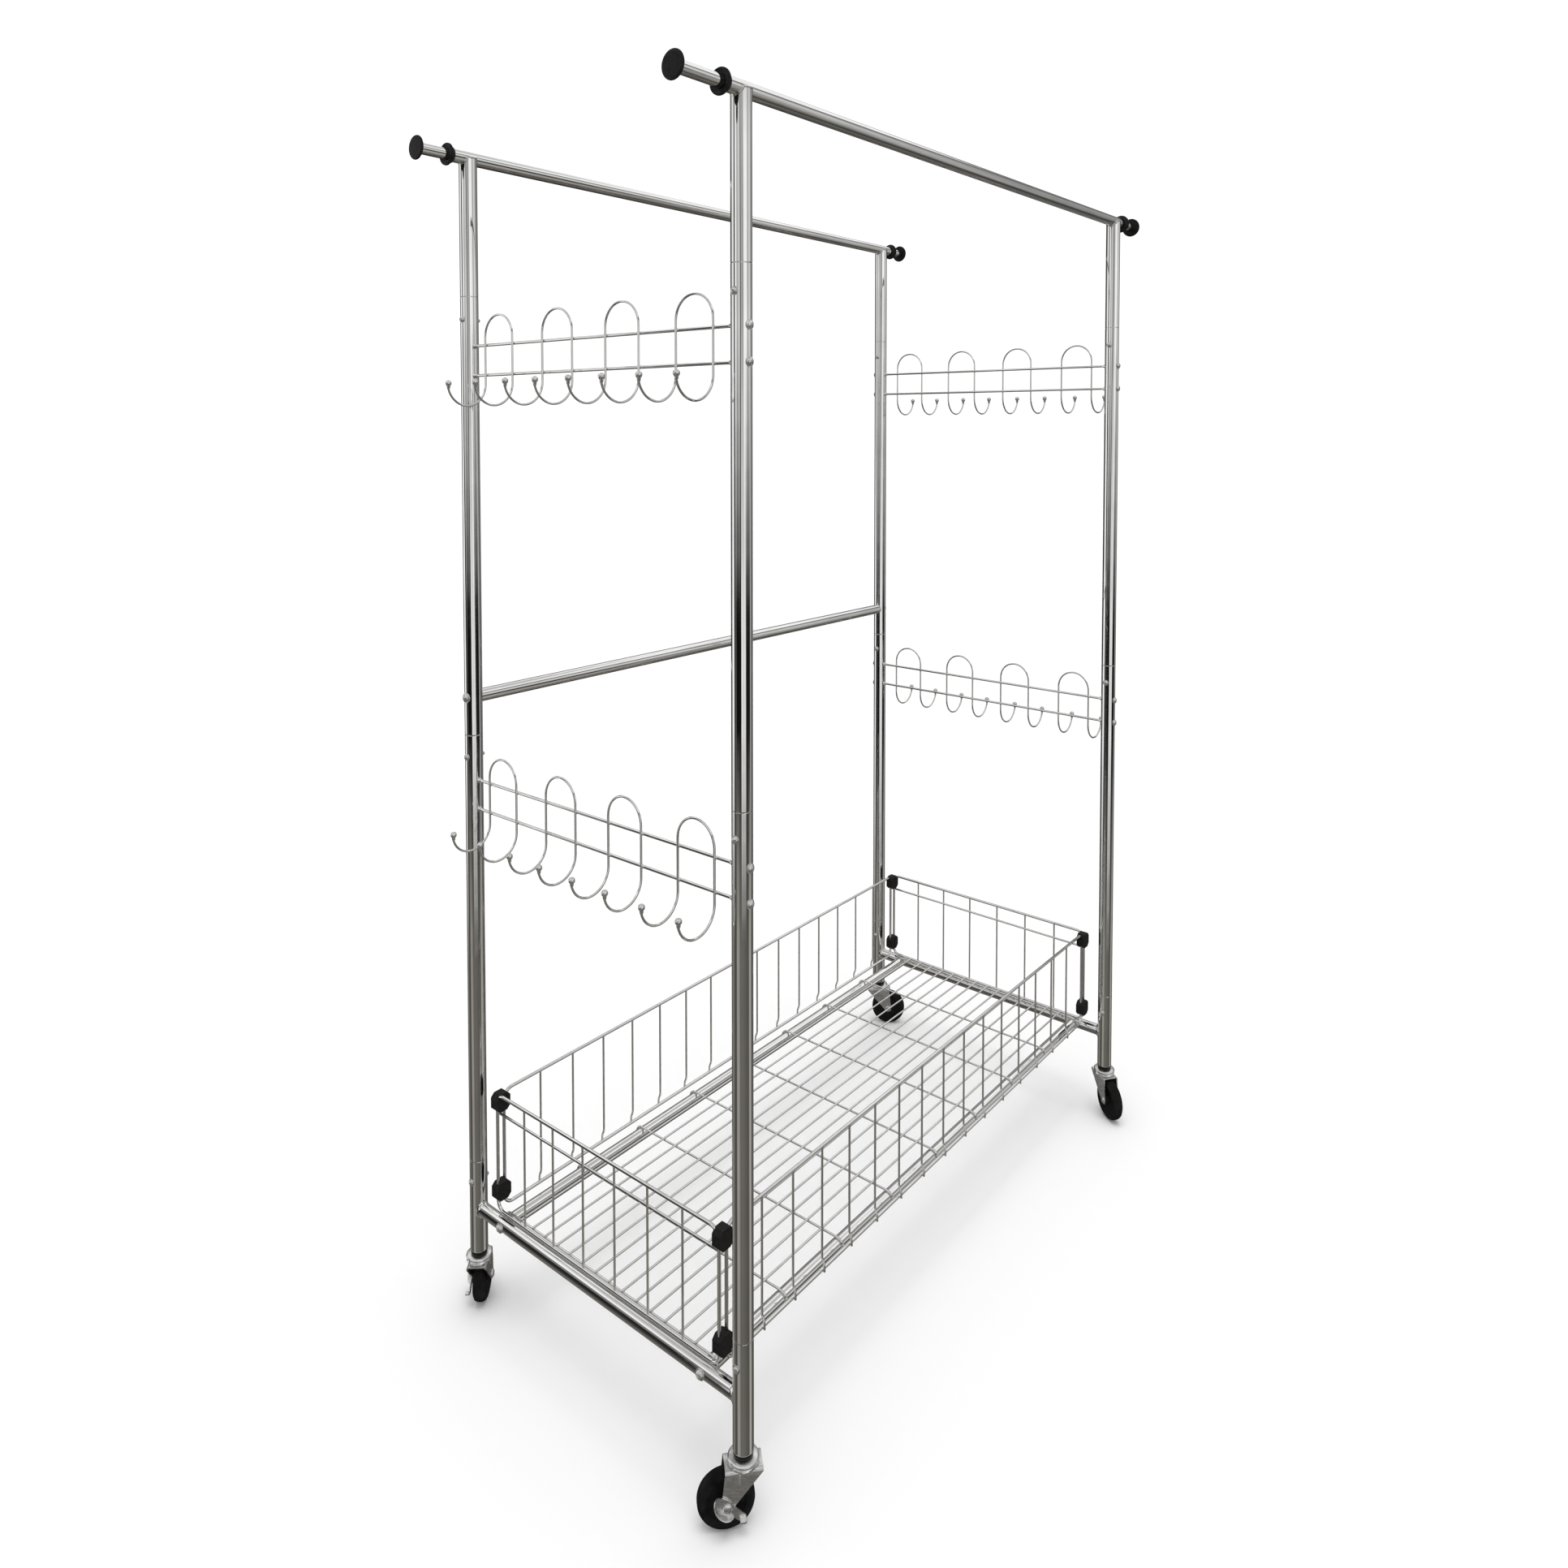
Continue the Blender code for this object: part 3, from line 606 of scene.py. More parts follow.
def mid_rail():
    low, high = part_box("mid_rail")
    middle = (low + high) / 2
    bm = bmesh.new()
    steps = 64
    rings = {}
    for sign in (-1, 1):
        for radius in RAIL:
            ring = []
            for step in range(steps):
                angle = math.tau * step / steps
                y = radius * math.cos(angle)
                reach = LENGTH / 2 - math.sqrt((POST[0] + 0.15 * MM) ** 2 - y**2)
                z = radius * math.sin(angle)
                ring.append(Vector((MIDDLE.x + sign * reach, middle.y + y, middle.z + z)))
            rings[sign, radius] = ring
    outer, inner = RAIL
    add_rings(bm, [rings[-1, outer], rings[1, outer], rings[1, inner], rings[-1, inner]], closed=True)
    piece("mid_rail_tube", bm, "chrome", stands_for=["mid_rail"])
    for x_side, sign in X_SIDES.items():
        axis = POSTS["rear", x_side]
        spot = Vector((axis.x + sign * POST[0], axis.y, MID_RAIL_HEIGHT))
        bm = bmesh.new()
        add_screw(bm, spot, (sign, 0, 0), 6 * MM, 3.4 * MM)
        piece(f"mid_rail_screw_{x_side}", bm, "zinc", stands_for=[f"mid_rail_bolt_{x_side}"])


# ---------------------------------------------------------------- telescopic rods


def rod_ends():
    for corner in CORNERS:
        name = "%s_%s" % corner
        sign = X_SIDES[corner[1]]
        low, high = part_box(f"rail_collar_{name}")
        face = high.x if sign > 0 else low.x
        place = aimed((face, POSTS[corner].y, RAIL_HEIGHT), (sign, 0, 0))
        bm = bmesh.new()
        add_ring_lathe(bm, collar_outline(), place, 56)
        piece(f"rail_collar_ring_{name}", bm, "black_plastic", stands_for=[f"rail_collar_{name}"])

        low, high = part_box(f"extension_rod_{name}")
        end = high.x if sign > 0 else low.x
        length = high.x - low.x
        place = aimed((end, POSTS[corner].y, RAIL_HEIGHT), (sign, 0, 0))
        bm = bmesh.new()
        add_ring_lathe(bm, pipe_outline(ROD, -length, 0), place)
        body = f"rod_{name}"
        piece(f"extension_rod_tube_{name}", bm, "chrome", body, [f"extension_rod_{name}"])
        bm = bmesh.new()
        add_lathe(bm, cap_profile(), place, 56)
        piece(f"rod_end_plug_{name}", bm, "black_plastic", body, [f"rod_end_cap_{name}"])


def collar_outline():
    """A dished plastic ring, thick at its rim, with a sleeve over the rail's end."""
    corners = [
        (ROD[0] + 0.25 * MM, -1.4 * MM),
        *in_mm((11.2, -1.4), (13.6, 0), (15.6, -0.6), (15.9, -3.2), (12.6, -5.8), (11.3, -9.5)),
        (RAIL[0] + 0.2 * MM, -9.5 * MM),
        (RAIL[0] + 0.2 * MM, -4.6 * MM),
        (ROD[0] + 0.25 * MM, -4.6 * MM),
    ]
    return rounded(corners, 0.9 * MM, 3, closed=True)


def cap_profile():
    """A mushroom cap: ribbed plug inside the rod, broad head with a rolled edge."""
    plug = ROD[1] - 0.2 * MM
    profile = [(0, -13 * MM), (plug - MM, -13 * MM), (plug, -11 * MM)]
    for rib in range(3):
        low = (-9.5 + 3 * rib) * MM
        profile += [(plug, low), (plug - 0.5 * MM, low + 0.6 * MM), (plug, low + 1.2 * MM)]
    profile.append((plug, 0.35 * MM))
    profile += in_mm((14.8, 0.35), (16.9, 1.5), (16.6, 3.2), (14.2, 4), (0, 4.3))
    return rounded(profile, 0.8 * MM, 3)


# ---------------------------------------------------------------- hook racks


def arch_path(middle, top_wire, outward):
    """One wire bent into an arch, its legs ending in hooks with ball tips."""
    plane = outward * (RACK_WIRE + THIN_WIRE - 0.4 * MM)
    bend = top_wire - RACK_WIRE_STEP - HOOK_DROP
    hook = list(arc((HOOK_RADIUS, bend), HOOK_RADIUS, HOOK_END, -180, 24))
    ball = []
    swell = []
    ball_middle = bend - BALL_DROP
    tip = HOOK_RADIUS * (1 + math.cos(math.radians(HOOK_END)))
    for angle in range(90, -60, -15):
        ball.append((tip, ball_middle + BALL_RADIUS * math.sin(math.radians(angle))))
        swell.append(max(0.05, BALL_RADIUS * math.cos(math.radians(angle)) / THIN_WIRE))
    for drop, radius in BALL_COLLAR:
        ball.append((tip, ball_middle - drop * MM))
        swell.append(radius * MM / THIN_WIRE)
    reach = [*ball, *hook]
    swell += [1] * (len(reach) - len(swell))
    leg = ARCH_WIDTH / 2
    first = [Vector((plane + outward * across, middle - leg, up)) for across, up in reach]
    last = [Vector((point.x, middle + leg, point.z)) for point in reversed(first)]
    arch = arc((0, top_wire + ARCH_RISE), leg, 180, 0, 24)
    top = [Vector((plane, middle + y, z)) for y, z in arch]
    return [*first, *top, *last], [*swell, *[1] * len(top), *reversed(swell)]


def hook_racks():
    for level, top_wire in RACK_TOP.items():
        for x_side, outward in X_SIDES.items():
            shift = Matrix.Translation((MIDDLE.x + outward * LENGTH / 2, MIDDLE.y, 0))
            bm = bmesh.new()
            spots = bmesh.new()
            end = WIDTH / 2 - POST[0] + 0.4 * MM
            ferrule = [(0, 0), (4.2 * MM, 0), (3.4 * MM, 2 * MM)]
            ferrule += [(RACK_WIRE, 6 * MM), (0, 6.2 * MM)]
            for height in (top_wire, top_wire - RACK_WIRE_STEP):
                add_wire(bm, [(0, -end, height), (0, end, height)], RACK_WIRE, 14)
                for sign in (-1, 1):
                    add_lathe(bm, ferrule, aimed((0, sign * end, height), (0, -sign, 0)), 20)
            for index in range(ARCH_COUNT):
                middle = (index - (ARCH_COUNT - 1) / 2) * ARCH_PITCH
                path, swell = arch_path(middle, top_wire, outward)
                add_wire(bm, path, THIN_WIRE, 12, swell=swell)
                for height in (top_wire, top_wire - RACK_WIRE_STEP):
                    for side in (-1, 1):
                        spot = (outward * 2 * MM, middle + side * ARCH_WIDTH / 2, height)
                        add_blob(spots, spot, (1.7 * MM, 2.9 * MM, 2.4 * MM))
            move(shift, bm, spots)
            node = f"hook_rack_{level}_{x_side}"
            piece(f"{node}_wires", bm, "chrome", stands_for=[node])
            piece(f"{node}_welds", spots, "weld")


def rack_screws():
    """Each rack wire is held by a screw through the post, its head on the post's outer face."""
    for corner in CORNERS:
        axis = POSTS[corner]
        outward = Y_SIDES[corner[0]]
        bm = bmesh.new()
        for top_wire in RACK_TOP.values():
            for height in (top_wire, top_wire - RACK_WIRE_STEP):
                spot = (axis.x, axis.y + outward * POST[0], height)
                add_screw(bm, spot, (0, outward, 0), 5 * MM, 3.2 * MM)
        piece("rack_screws_%s_%s" % corner, bm, "zinc")


# ---------------------------------------------------------------- base


def add_fillet(bm, axis, height, toward, size=4.5 * MM, steps=48, bends=5):
    """The weld's smooth fillet where a cross tube meets a leg; toward is +1 or -1 along Y."""
    rings = []
    for step in range(steps):
        angle = math.tau * step / steps
        across = RAIL[0] * math.cos(angle)
        up = RAIL[0] * math.sin(angle)
        root = math.sqrt(POST[0] ** 2 - across**2)
        on_tube = Vector((across, root + size, up))
        corner = Vector((across, root, up))
        wrap = math.asin(across / POST[0]) + size / POST[0] * math.cos(angle)
        drop = up + size * math.sin(angle)
        on_leg = Vector((POST[0] * math.sin(wrap), POST[0] * math.cos(wrap), drop))
        ring = []
        for bend in range(bends + 1):
            share = bend / bends
            middle = corner * 2 * share * (1 - share)
            ring.append(on_tube * (1 - share) ** 2 + middle + on_leg * share**2)
        inside = corner * 0.9
        ring.append(Vector((inside.x, inside.y, corner.z * 0.9)))
        rings.append([Vector((axis.x + p.x, axis.y + toward * p.y, height + p.z)) for p in ring])
    add_rings(bm, rings, closed=True)


def base_frames():
    for x_side in X_SIDES:
        bm = bmesh.new()
        welds = bmesh.new()
        for y_side, sign in Y_SIDES.items():
            axis = POSTS[y_side, x_side]
            foot = Matrix.Translation((axis.x, axis.y, 0))
            add_ring_lathe(bm, pipe_outline(POST, LEG_FOOT, LOW_SEAM), foot)
            add_fillet(welds, axis, CROSS_HEIGHT, -sign)
        start = POSTS["front", x_side]
        half = WIDTH / 2 - POST[0] + 1.5 * MM
        place = aimed((start.x, MIDDLE.y, CROSS_HEIGHT), (0, 1, 0))
        add_ring_lathe(bm, pipe_outline(RAIL, -half, half), place)
        piece(f"base_frame_tubes_{x_side}", bm, "chrome", stands_for=[f"base_frame_{x_side}"])
        piece(f"base_frame_welds_{x_side}", welds, "chrome")


def shelf_tubes():
    for y_side, y in SHELF_TUBE_Y.items():
        low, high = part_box(f"shelf_tube_{y_side}")
        half = (high.x - low.x) / 2 + 0.2 * MM
        bm = bmesh.new()
        place = aimed((MIDDLE.x, y, CROSS_HEIGHT), (1, 0, 0))
        add_ring_lathe(bm, pipe_outline(RAIL, -half, half), place)
        piece(f"shelf_tube_pipe_{y_side}", bm, "chrome", stands_for=[f"shelf_tube_{y_side}"])
        bolts = bmesh.new()
        for sign in X_SIDES.values():
            spot = Vector((MIDDLE.x + sign * (LENGTH / 2 + RAIL[0]), y, CROSS_HEIGHT))
            add_screw(bolts, spot, (sign, 0, 0), 5.6 * MM, 3.4 * MM)
        piece(f"shelf_tube_bolts_{y_side}", bolts, "zinc")


# ---------------------------------------------------------------- basket


def stand(kind, across, up, out=0.0):
    """A point of a fence before it is placed; out is towards the rack's outside for sign +1."""
    return (across, out, up) if kind == "long" else (out, across, up)


def fence_place(kind, sign):
    if kind == "long":
        return Matrix.Translation((MIDDLE.x, MIDDLE.y + sign * (WIDTH / 2 - LONG_FENCE_INSET), 0))
    return Matrix.Translation((MIDDLE.x + sign * (LENGTH / 2 - END_FENCE_INSET), MIDDLE.y, 0))


def fence_loop(kind):
    """The closed outer wire of a fence, as (across, up) points."""
    span = LENGTH if kind == "long" else WIDTH
    r = FENCE_CORNER_RADIUS
    right = span / 2 - FENCE_CORNER_INSET[kind] - r
    top = FENCE_TOP - r
    bottom = FENCE_BOTTOM[kind] + r
    corners = [(right, top), (-right, top), (-right, bottom), (right, bottom)]
    for index, corner in enumerate(corners):
        yield from arc(corner, r, 90 * index, 90 * index + 90, 8)


def upright_path(kind, across, sign):
    """A long fence's upright steps outwards near its foot; an end fence's is straight."""
    low = FENCE_BOTTOM[kind] - 1.5 * MM
    top = FENCE_TOP + 1.2 * MM
    if kind == "end":
        return [Vector(stand(kind, across, up)) for up in (low, top)]
    step = sign * 4 * MM
    corners = [(low, step), (low + 9 * MM, step), (low + 17 * MM, 0), (top, 0)]
    return rounded([stand(kind, across, up, out) for up, out in corners], 4 * MM, 4)


def fences():
    for kind, sides in (("long", Y_SIDES), ("end", X_SIDES)):
        for side, sign in sides.items():
            bm = bmesh.new()
            spots = bmesh.new()
            add_wire(bm, [stand(kind, *point) for point in fence_loop(kind)], FRAME_WIRE, 14, True)
            count = FENCE_UPRIGHTS[kind]
            inner = -sign * 1.9 * MM
            for index in range(count):
                across = (index - (count - 1) / 2) * FENCE_PITCH
                add_wire(bm, upright_path(kind, across, sign), THIN_WIRE, 12)
                spot = stand(kind, across, FENCE_TOP - 0.6 * MM)
                add_blob(spots, spot, (2.3 * MM, 2.3 * MM, 2.6 * MM))
                if kind == "end":
                    spot = stand(kind, across, SECOND_WIRE, inner * 0.5)
                    add_blob(spots, spot, (2.2 * MM, 2.2 * MM, 1.9 * MM))
            if kind == "end":
                half = WIDTH / 2 - FENCE_CORNER_INSET[kind]
                ends = [stand(kind, across, SECOND_WIRE, inner) for across in (-half - MM, half + MM)]
                add_rod(bm, *ends, THIN_WIRE * 1.2)
            move(fence_place(kind, sign), bm, spots)
            node = f"basket_fence_{side}"
            piece(f"{node}_wires", bm, "chrome", stands_for=[node])
            piece(f"{node}_welds", spots, "weld")


def basket_floor():
    """Long wires on cross wires whose turned-down ends hold the shelf tubes."""
    cross_z = CROSS_HEIGHT + RAIL[0] + THIN_WIRE + 0.1 * MM
    long_z = cross_z + 2 * THIN_WIRE - 0.4 * MM
    half_x = LENGTH / 2 - GRID_END_INSET
    tube_y = SHELF_TUBE_Y["rear"] - MIDDLE.y
    bm = bmesh.new()
    spots = bmesh.new()
    long_ys = [(i - (GRID_LONG_WIRES - 1) / 2) * GRID_LONG_PITCH for i in range(GRID_LONG_WIRES)]
    places = [(i - (GRID_CROSS_WIRES - 1) / 2) * 2 * FENCE_PITCH for i in range(GRID_CROSS_WIRES)]
    for y in long_ys:
        add_rod(bm, (-half_x - 2 * MM, y, long_z), (half_x + 2 * MM, y, long_z), THIN_WIRE)
    wrap = RAIL[0] + THIN_WIRE + 0.1 * MM
    for x in [-half_x, *places, half_x]:
        turned = arc((tube_y, CROSS_HEIGHT), wrap, 90, 10, 8)
        right = [Vector((x, y, z)) for y, z in turned]
        left = [Vector((x, -point.y, point.z)) for point in reversed(right)]
        add_wire(bm, [*left, *right], THIN_WIRE, 12)
        for y in long_ys:
            add_blob(spots, (x, y, cross_z + THIN_WIRE - 0.2 * MM), (2.1 * MM, 2.1 * MM, 1.5 * MM))
    move(Matrix.Translation((MIDDLE.x, MIDDLE.y, 0)), bm, spots)
    piece("basket_floor_wires", bm, "chrome", stands_for=["basket_floor"])
    piece("basket_floor_welds", spots, "weld")


def corner_clips():
    """Moulded clips with chamfered corners; each grips two fence wires in open channels."""
    for y_side, x_side in CORNERS:
        for level in ("upper", "lower"):
            node = f"corner_clip_{level}_{y_side}_{x_side}"
            low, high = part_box(node)
            middle = (low + high) / 2
            wide, deep, tall = high - low
            cut = 5.5 * MM
            outline = []
            for sx, sz in ((-1, -1), (1, -1), (1, 1), (-1, 1)):
                side = (sx * wide / 2, sz * (tall / 2 - cut))
                end = (sx * (wide / 2 - cut), sz * tall / 2)
                outline += (side, end) if sx * sz > 0 else (end, side)
            bm = bmesh.new()
            add_plate(bm, outline, deep, Matrix.Translation(middle))
            for kind, sign in (("long", Y_SIDES[y_side]), ("end", X_SIDES[x_side])):
                loop = bmesh.new()
                path = [stand(kind, *point) for point in fence_loop(kind)]
                add_wire(loop, path, FRAME_WIRE + 0.25 * MM, 12, True)
                move(fence_place(kind, sign), loop)
                bm = apply_boolean(bm, loop, "DIFFERENCE")
            piece(f"{node}_moulding", bevelled(bm, 0.5 * MM), "black_plastic", stands_for=[node])


# ---------------------------------------------------------------- castors


def castor_place(name, z=0.0):
    """Local +X is the direction in which the wheel trails its post, +Y its axle."""
    corner = tuple(name.split("_"))
    axis = POSTS[corner]
    trail = joint_point(f"wheel_spin_{name}") - axis
    turn = Matrix.Rotation(math.atan2(trail.y, trail.x), 4, "Z")
    return Matrix.Translation((axis.x, axis.y, z)) @ turn


def trail_length():
    offset = joint_point("wheel_spin_front_left") - POSTS["front", "left"]
    return math.hypot(offset.x, offset.y)


def castor_stem(name):
    """The race that hangs under the leg on its stem, and the black bush between them."""
    place = castor_place(name)
    low = RACE_TOP + 0.3 * MM
    bm = bmesh.new()
    race = in_mm((0, 1.5), (16.4, 1.5), (17.2, 0), (18.8, 0.6), (19, 2.6), (17.4, 4.4), (13, 5), (9.8, 5.2))
    stem = in_mm((9.8, 36), (8, 39), (0, 39))
    profile = [(radius, low + up) for radius, up in race]
    profile += [(radius, LEG_FOOT + up) for radius, up in stem]
    add_lathe(bm, rounded(profile, 0.8 * MM, 3), place, 56)
    piece(f"castor_race_{name}", bm, "zinc", stands_for=[f"castor_stem_{name}"])
    bush = bmesh.new()
    corners = [
        (9.9 * MM, low + 5.1 * MM),
        (11.4 * MM, low + 5.1 * MM),
        (12.3 * MM, LEG_FOOT - 3 * MM),
        (12.3 * MM, LEG_FOOT - 0.1 * MM),
        (POST[1] - 0.1 * MM, LEG_FOOT - 0.1 * MM),
        (POST[1] - 0.1 * MM, LEG_FOOT + 30 * MM),
        (9.9 * MM, LEG_FOOT + 30 * MM),
    ]
    add_ring_lathe(bush, rounded(corners, 0.5 * MM, 2, closed=True), place)
    piece(f"castor_bush_{name}", bush, "black_plastic")


def fork_blank():
    """Sheet bent into a channel with rounded shoulders, before its sides are cut to shape."""
    half, top = FORK_HALF, CROWN_TOP
    outer = rounded([(-half, 0), (-half, top), (half, top), (half, 0)], 4 * MM, 5)
    half, top = FORK_HALF - FORK_PLATE, CROWN_TOP - FORK_PLATE
    inner = rounded([(half, 0), (half, top), (-half, top), (-half, 0)], 2.2 * MM, 5)
    ring = [(p.x, p.y) for p in [*outer, *inner]]
    bm = bmesh.new()
    add_rings(bm, [[Vector((x, y, z)) for y, z in ring] for x in (-60 * MM, 90 * MM)])
    return bm


def castor_fork(name, braked):
    place = castor_place(name)
    trail = trail_length()
    outline = rounded([(-CROWN_HALF, CROWN_TOP + 5 * MM), (-CROWN_HALF, CROWN_TOP - 4 * MM)], 2 * MM)
    outline = [(p.x, p.y) for p in outline]
    outline += arc((trail, AXLE_HEIGHT), FORK_ROUND, 216, 365, 14)
    outline += [(CROWN_HALF + 1.5 * MM, CROWN_TOP - 8 * MM), (CROWN_HALF, CROWN_TOP + 5 * MM)]
    cutter = bmesh.new()
    add_plate(cutter, outline, 60 * MM)
    bm = bevelled(apply_boolean(fork_blank(), cutter, "INTERSECT"), 0.5 * MM)
    # Lower race pressed up from the crown, and the kingpin's head under it
    under = CROWN_TOP - FORK_PLATE
    lip = [(0, under + MM), (18.3 * MM, under + MM), (18 * MM, CROWN_TOP + 0.6 * MM)]
    lip += [(16.9 * MM, RACE_TOP), (0, RACE_TOP)]
    add_lathe(bm, rounded(lip, 0.7 * MM, 3), Matrix(), 56)
    head = [(r, under + up) for r, up in in_mm((0, 0.5), (7, 0.5), (6.4, -1.6), (0, -2.2))]
    add_lathe(bm, rounded(head, 0.8 * MM, 3), Matrix(), 28)
    # A stiffening rib pressed into each side plate
    for side in (-1, 1):
        foot = (6 * MM, side * (FORK_HALF - 0.25 * MM), 60 * MM)
        top = (6 * MM, side * (FORK_HALF - 0.25 * MM), 72 * MM)
        add_rod(bm, foot, top, 1.1 * MM, 16)
    lever_room = 2.2 * MM if braked else 0
    for side, extra in ((-1, 0), (1, lever_room)):
        spot = Vector((trail, side * (FORK_HALF + extra - 0.2 * MM), AXLE_HEIGHT))
        rivet = in_mm((0, 0), (5.8, 0), (5.8, 0.9), (4.4, 2.2), (1.6, 2.6), (0, 2.1))
        add_lathe(bm, rounded(rivet, 0.4 * MM, 2), aimed(spot, (0, side, 0)), 28)
    reach = FORK_HALF + lever_room
    pin = [(0, -FORK_HALF), (3.9 * MM, -FORK_HALF), (3.9 * MM, reach), (0, reach)]
    add_lathe(bm, pin, aimed((trail, 0, AXLE_HEIGHT), (0, 1, 0)), 28)
    move(place, bm)
    piece(f"castor_fork_pressing_{name}", bm, "zinc", f"castor_{name}", [f"castor_fork_{name}"])


def wheel_outline():
    """Half of the wheel's section is mirrored: rounded tread, stepped side, dished web and hub."""
    hub = [(4.3, 11.6), (7.4, 11.6), (8.4, 6.4)]  # radius and half width, in mm
    web = [(22.6, 5.8), (24, 8), (25.6, 8), (26.2, 8.9)]
    tread = [(30.4, 8.9), (33.4, 6.8), (34.6, 4), (34.75, 1.5)]
    side = hub + web + tread
    corners = side + [(radius, -across) for radius, across in reversed(side)]
    return rounded(in_mm(*corners), 0.9 * MM, 3, closed=True)


def castor_wheel(name):
    joint = JOINTS[f"wheel_spin_{name}"]
    bm = bmesh.new()
    add_ring_lathe(bm, wheel_outline(), aimed(joint["pos_m"], joint["axis"]), 96)
    piece(f"castor_wheel_tyre_{name}", bm, "black_rubber", f"wheel_{name}", [f"castor_wheel_{name}"])


def brake_lever(name):
    """A pressed oval pedal on the axle's end, with a rolled rim and a thin arm that ends in a tab."""
    joint = JOINTS[f"brake_{name}"]
    place = castor_place(name) @ Matrix.Translation((trail_length(), 0, joint["pos_m"][2]))
    plane = FORK_HALF + 0.3 * MM + 0.8 * MM
    tilt = Matrix.Rotation(-PEDAL_TILT, 4, "Y")
    middle = Matrix.Translation((PEDAL_PLACE[0], plane, PEDAL_PLACE[1])) @ tilt
    arm = bmesh.new()
    oval = [(PEDAL[0] * x, PEDAL[1] * z) for x, z in arc((0, 0), 1, 0, 350, 35)]
    add_plate(arm, oval, 1.6 * MM, middle)
    tail = in_mm((-3, 3), (-10, 1), (-23, -11), (-22, -16), (-15, -17), (-1, -6))
    tail = rounded(tail, 2.5 * MM, 4, closed=True)
    blade = bmesh.new()
    add_plate(blade, [(p.x, p.y) for p in tail], 1.5 * MM, Matrix.Translation((0, plane, 0)))
    arm = apply_boolean(arm, blade, "UNION")
    hole = bmesh.new()
    drill = in_mm((0, 0), (4.3, 0), (4.3, 30), (0, 30))
    add_lathe(hole, drill, aimed((0, 0, 0), (0, 1, 0)), 28)
    bm = bevelled(apply_boolean(arm, hole, "DIFFERENCE"), 0.3 * MM)
    add_dish(bm, middle)
    tab = Matrix.Translation((-18.5 * MM, plane + 2.8 * MM, -15.2 * MM))
    corners = [(x * 3.6 * MM, z * 0.8 * MM) for x, z in ((-1, -1), (1, -1), (1, 1), (-1, 1))]
    tongue = bmesh.new()
    add_plate(tongue, corners, 6 * MM, tab)
    bevelled(tongue, 0.4 * MM)
    joined_mesh(bm, tongue)
    move(place, bm)
    piece(f"brake_pedal_{name}", bm, "zinc", f"lever_{name}", [f"brake_lever_{name}"])


def add_dish(bm, middle, steps=30):
    """The rim that rises from the lower half of the pedal, highest in its middle."""
    rings = []
    for step in range(steps + 1):
        angle = math.radians(-176 + 172 * step / steps)
        height = (0.6 + 7.4 * math.sin(math.pi * step / steps) ** 0.6) * MM
        ring = []
        wall = 1.3 * MM
        foot = -0.5 * MM
        section = [(0.0, foot), (0.0, height), (0.6 * MM, height + 0.5 * MM)]
        section += [(wall, height), (wall, foot)]
        for inset, lift in section:
            flare = 0.10 * max(0.0, lift)
            x = (PEDAL[0] - inset + flare) * math.cos(angle)
            z = (PEDAL[1] - inset + flare) * math.sin(angle)
            ring.append(middle @ Vector((x, lift, z)))
        rings.append(ring)
    add_rings(bm, rings)


def joined_mesh(bm, other):
    """Adds another bmesh's faces to the first."""
    mesh = bpy.data.meshes.new("part")
    other.to_mesh(mesh)
    other.free()
    bm.from_mesh(mesh)
    bpy.data.meshes.remove(mesh)


def castors():
    for y_side, x_side in CORNERS:
        name = f"{y_side}_{x_side}"
        braked = f"brake_{name}" in JOINTS
        castor_stem(name)
        castor_fork(name, braked)
        castor_wheel(name)
        if braked:
            brake_lever(name)


# ---------------------------------------------------------------- studio


def floor():
    bm = bmesh.new()
    bmesh.ops.create_grid(bm, x_segments=4, y_segments=4, size=40)
    mesh = bpy.data.meshes.new("floor")
    bm.to_mesh(mesh)
    bm.free()
    paper = bpy.data.materials.new("paper")
    paper.use_nodes = True
    shader = paper.node_tree.nodes["Principled BSDF"]
    shader.inputs["Base Color"].default_value = (0.93, 0.93, 0.93, 1)
    shader.inputs["Roughness"].default_value = 0.9
    shader.inputs["Specular IOR Level"].default_value = 0.0
    mesh.materials.append(paper)
    obj = bpy.data.objects.new("floor", mesh)
    bpy.context.scene.collection.objects.link(obj)
    obj.visible_glossy = False


def overhead_light():
    """One broad soft lamp above, which mirrors don't show; the room lights the metal."""
    light = bpy.data.lights.new("overhead", "SUN")
    light.energy = 1.25
    light.angle = math.radians(38)
    obj = bpy.data.objects.new("overhead", light)
    bpy.context.scene.collection.objects.link(obj)
    obj.rotation_euler = (math.radians(8), math.radians(-6), 0)
    obj.visible_glossy = False


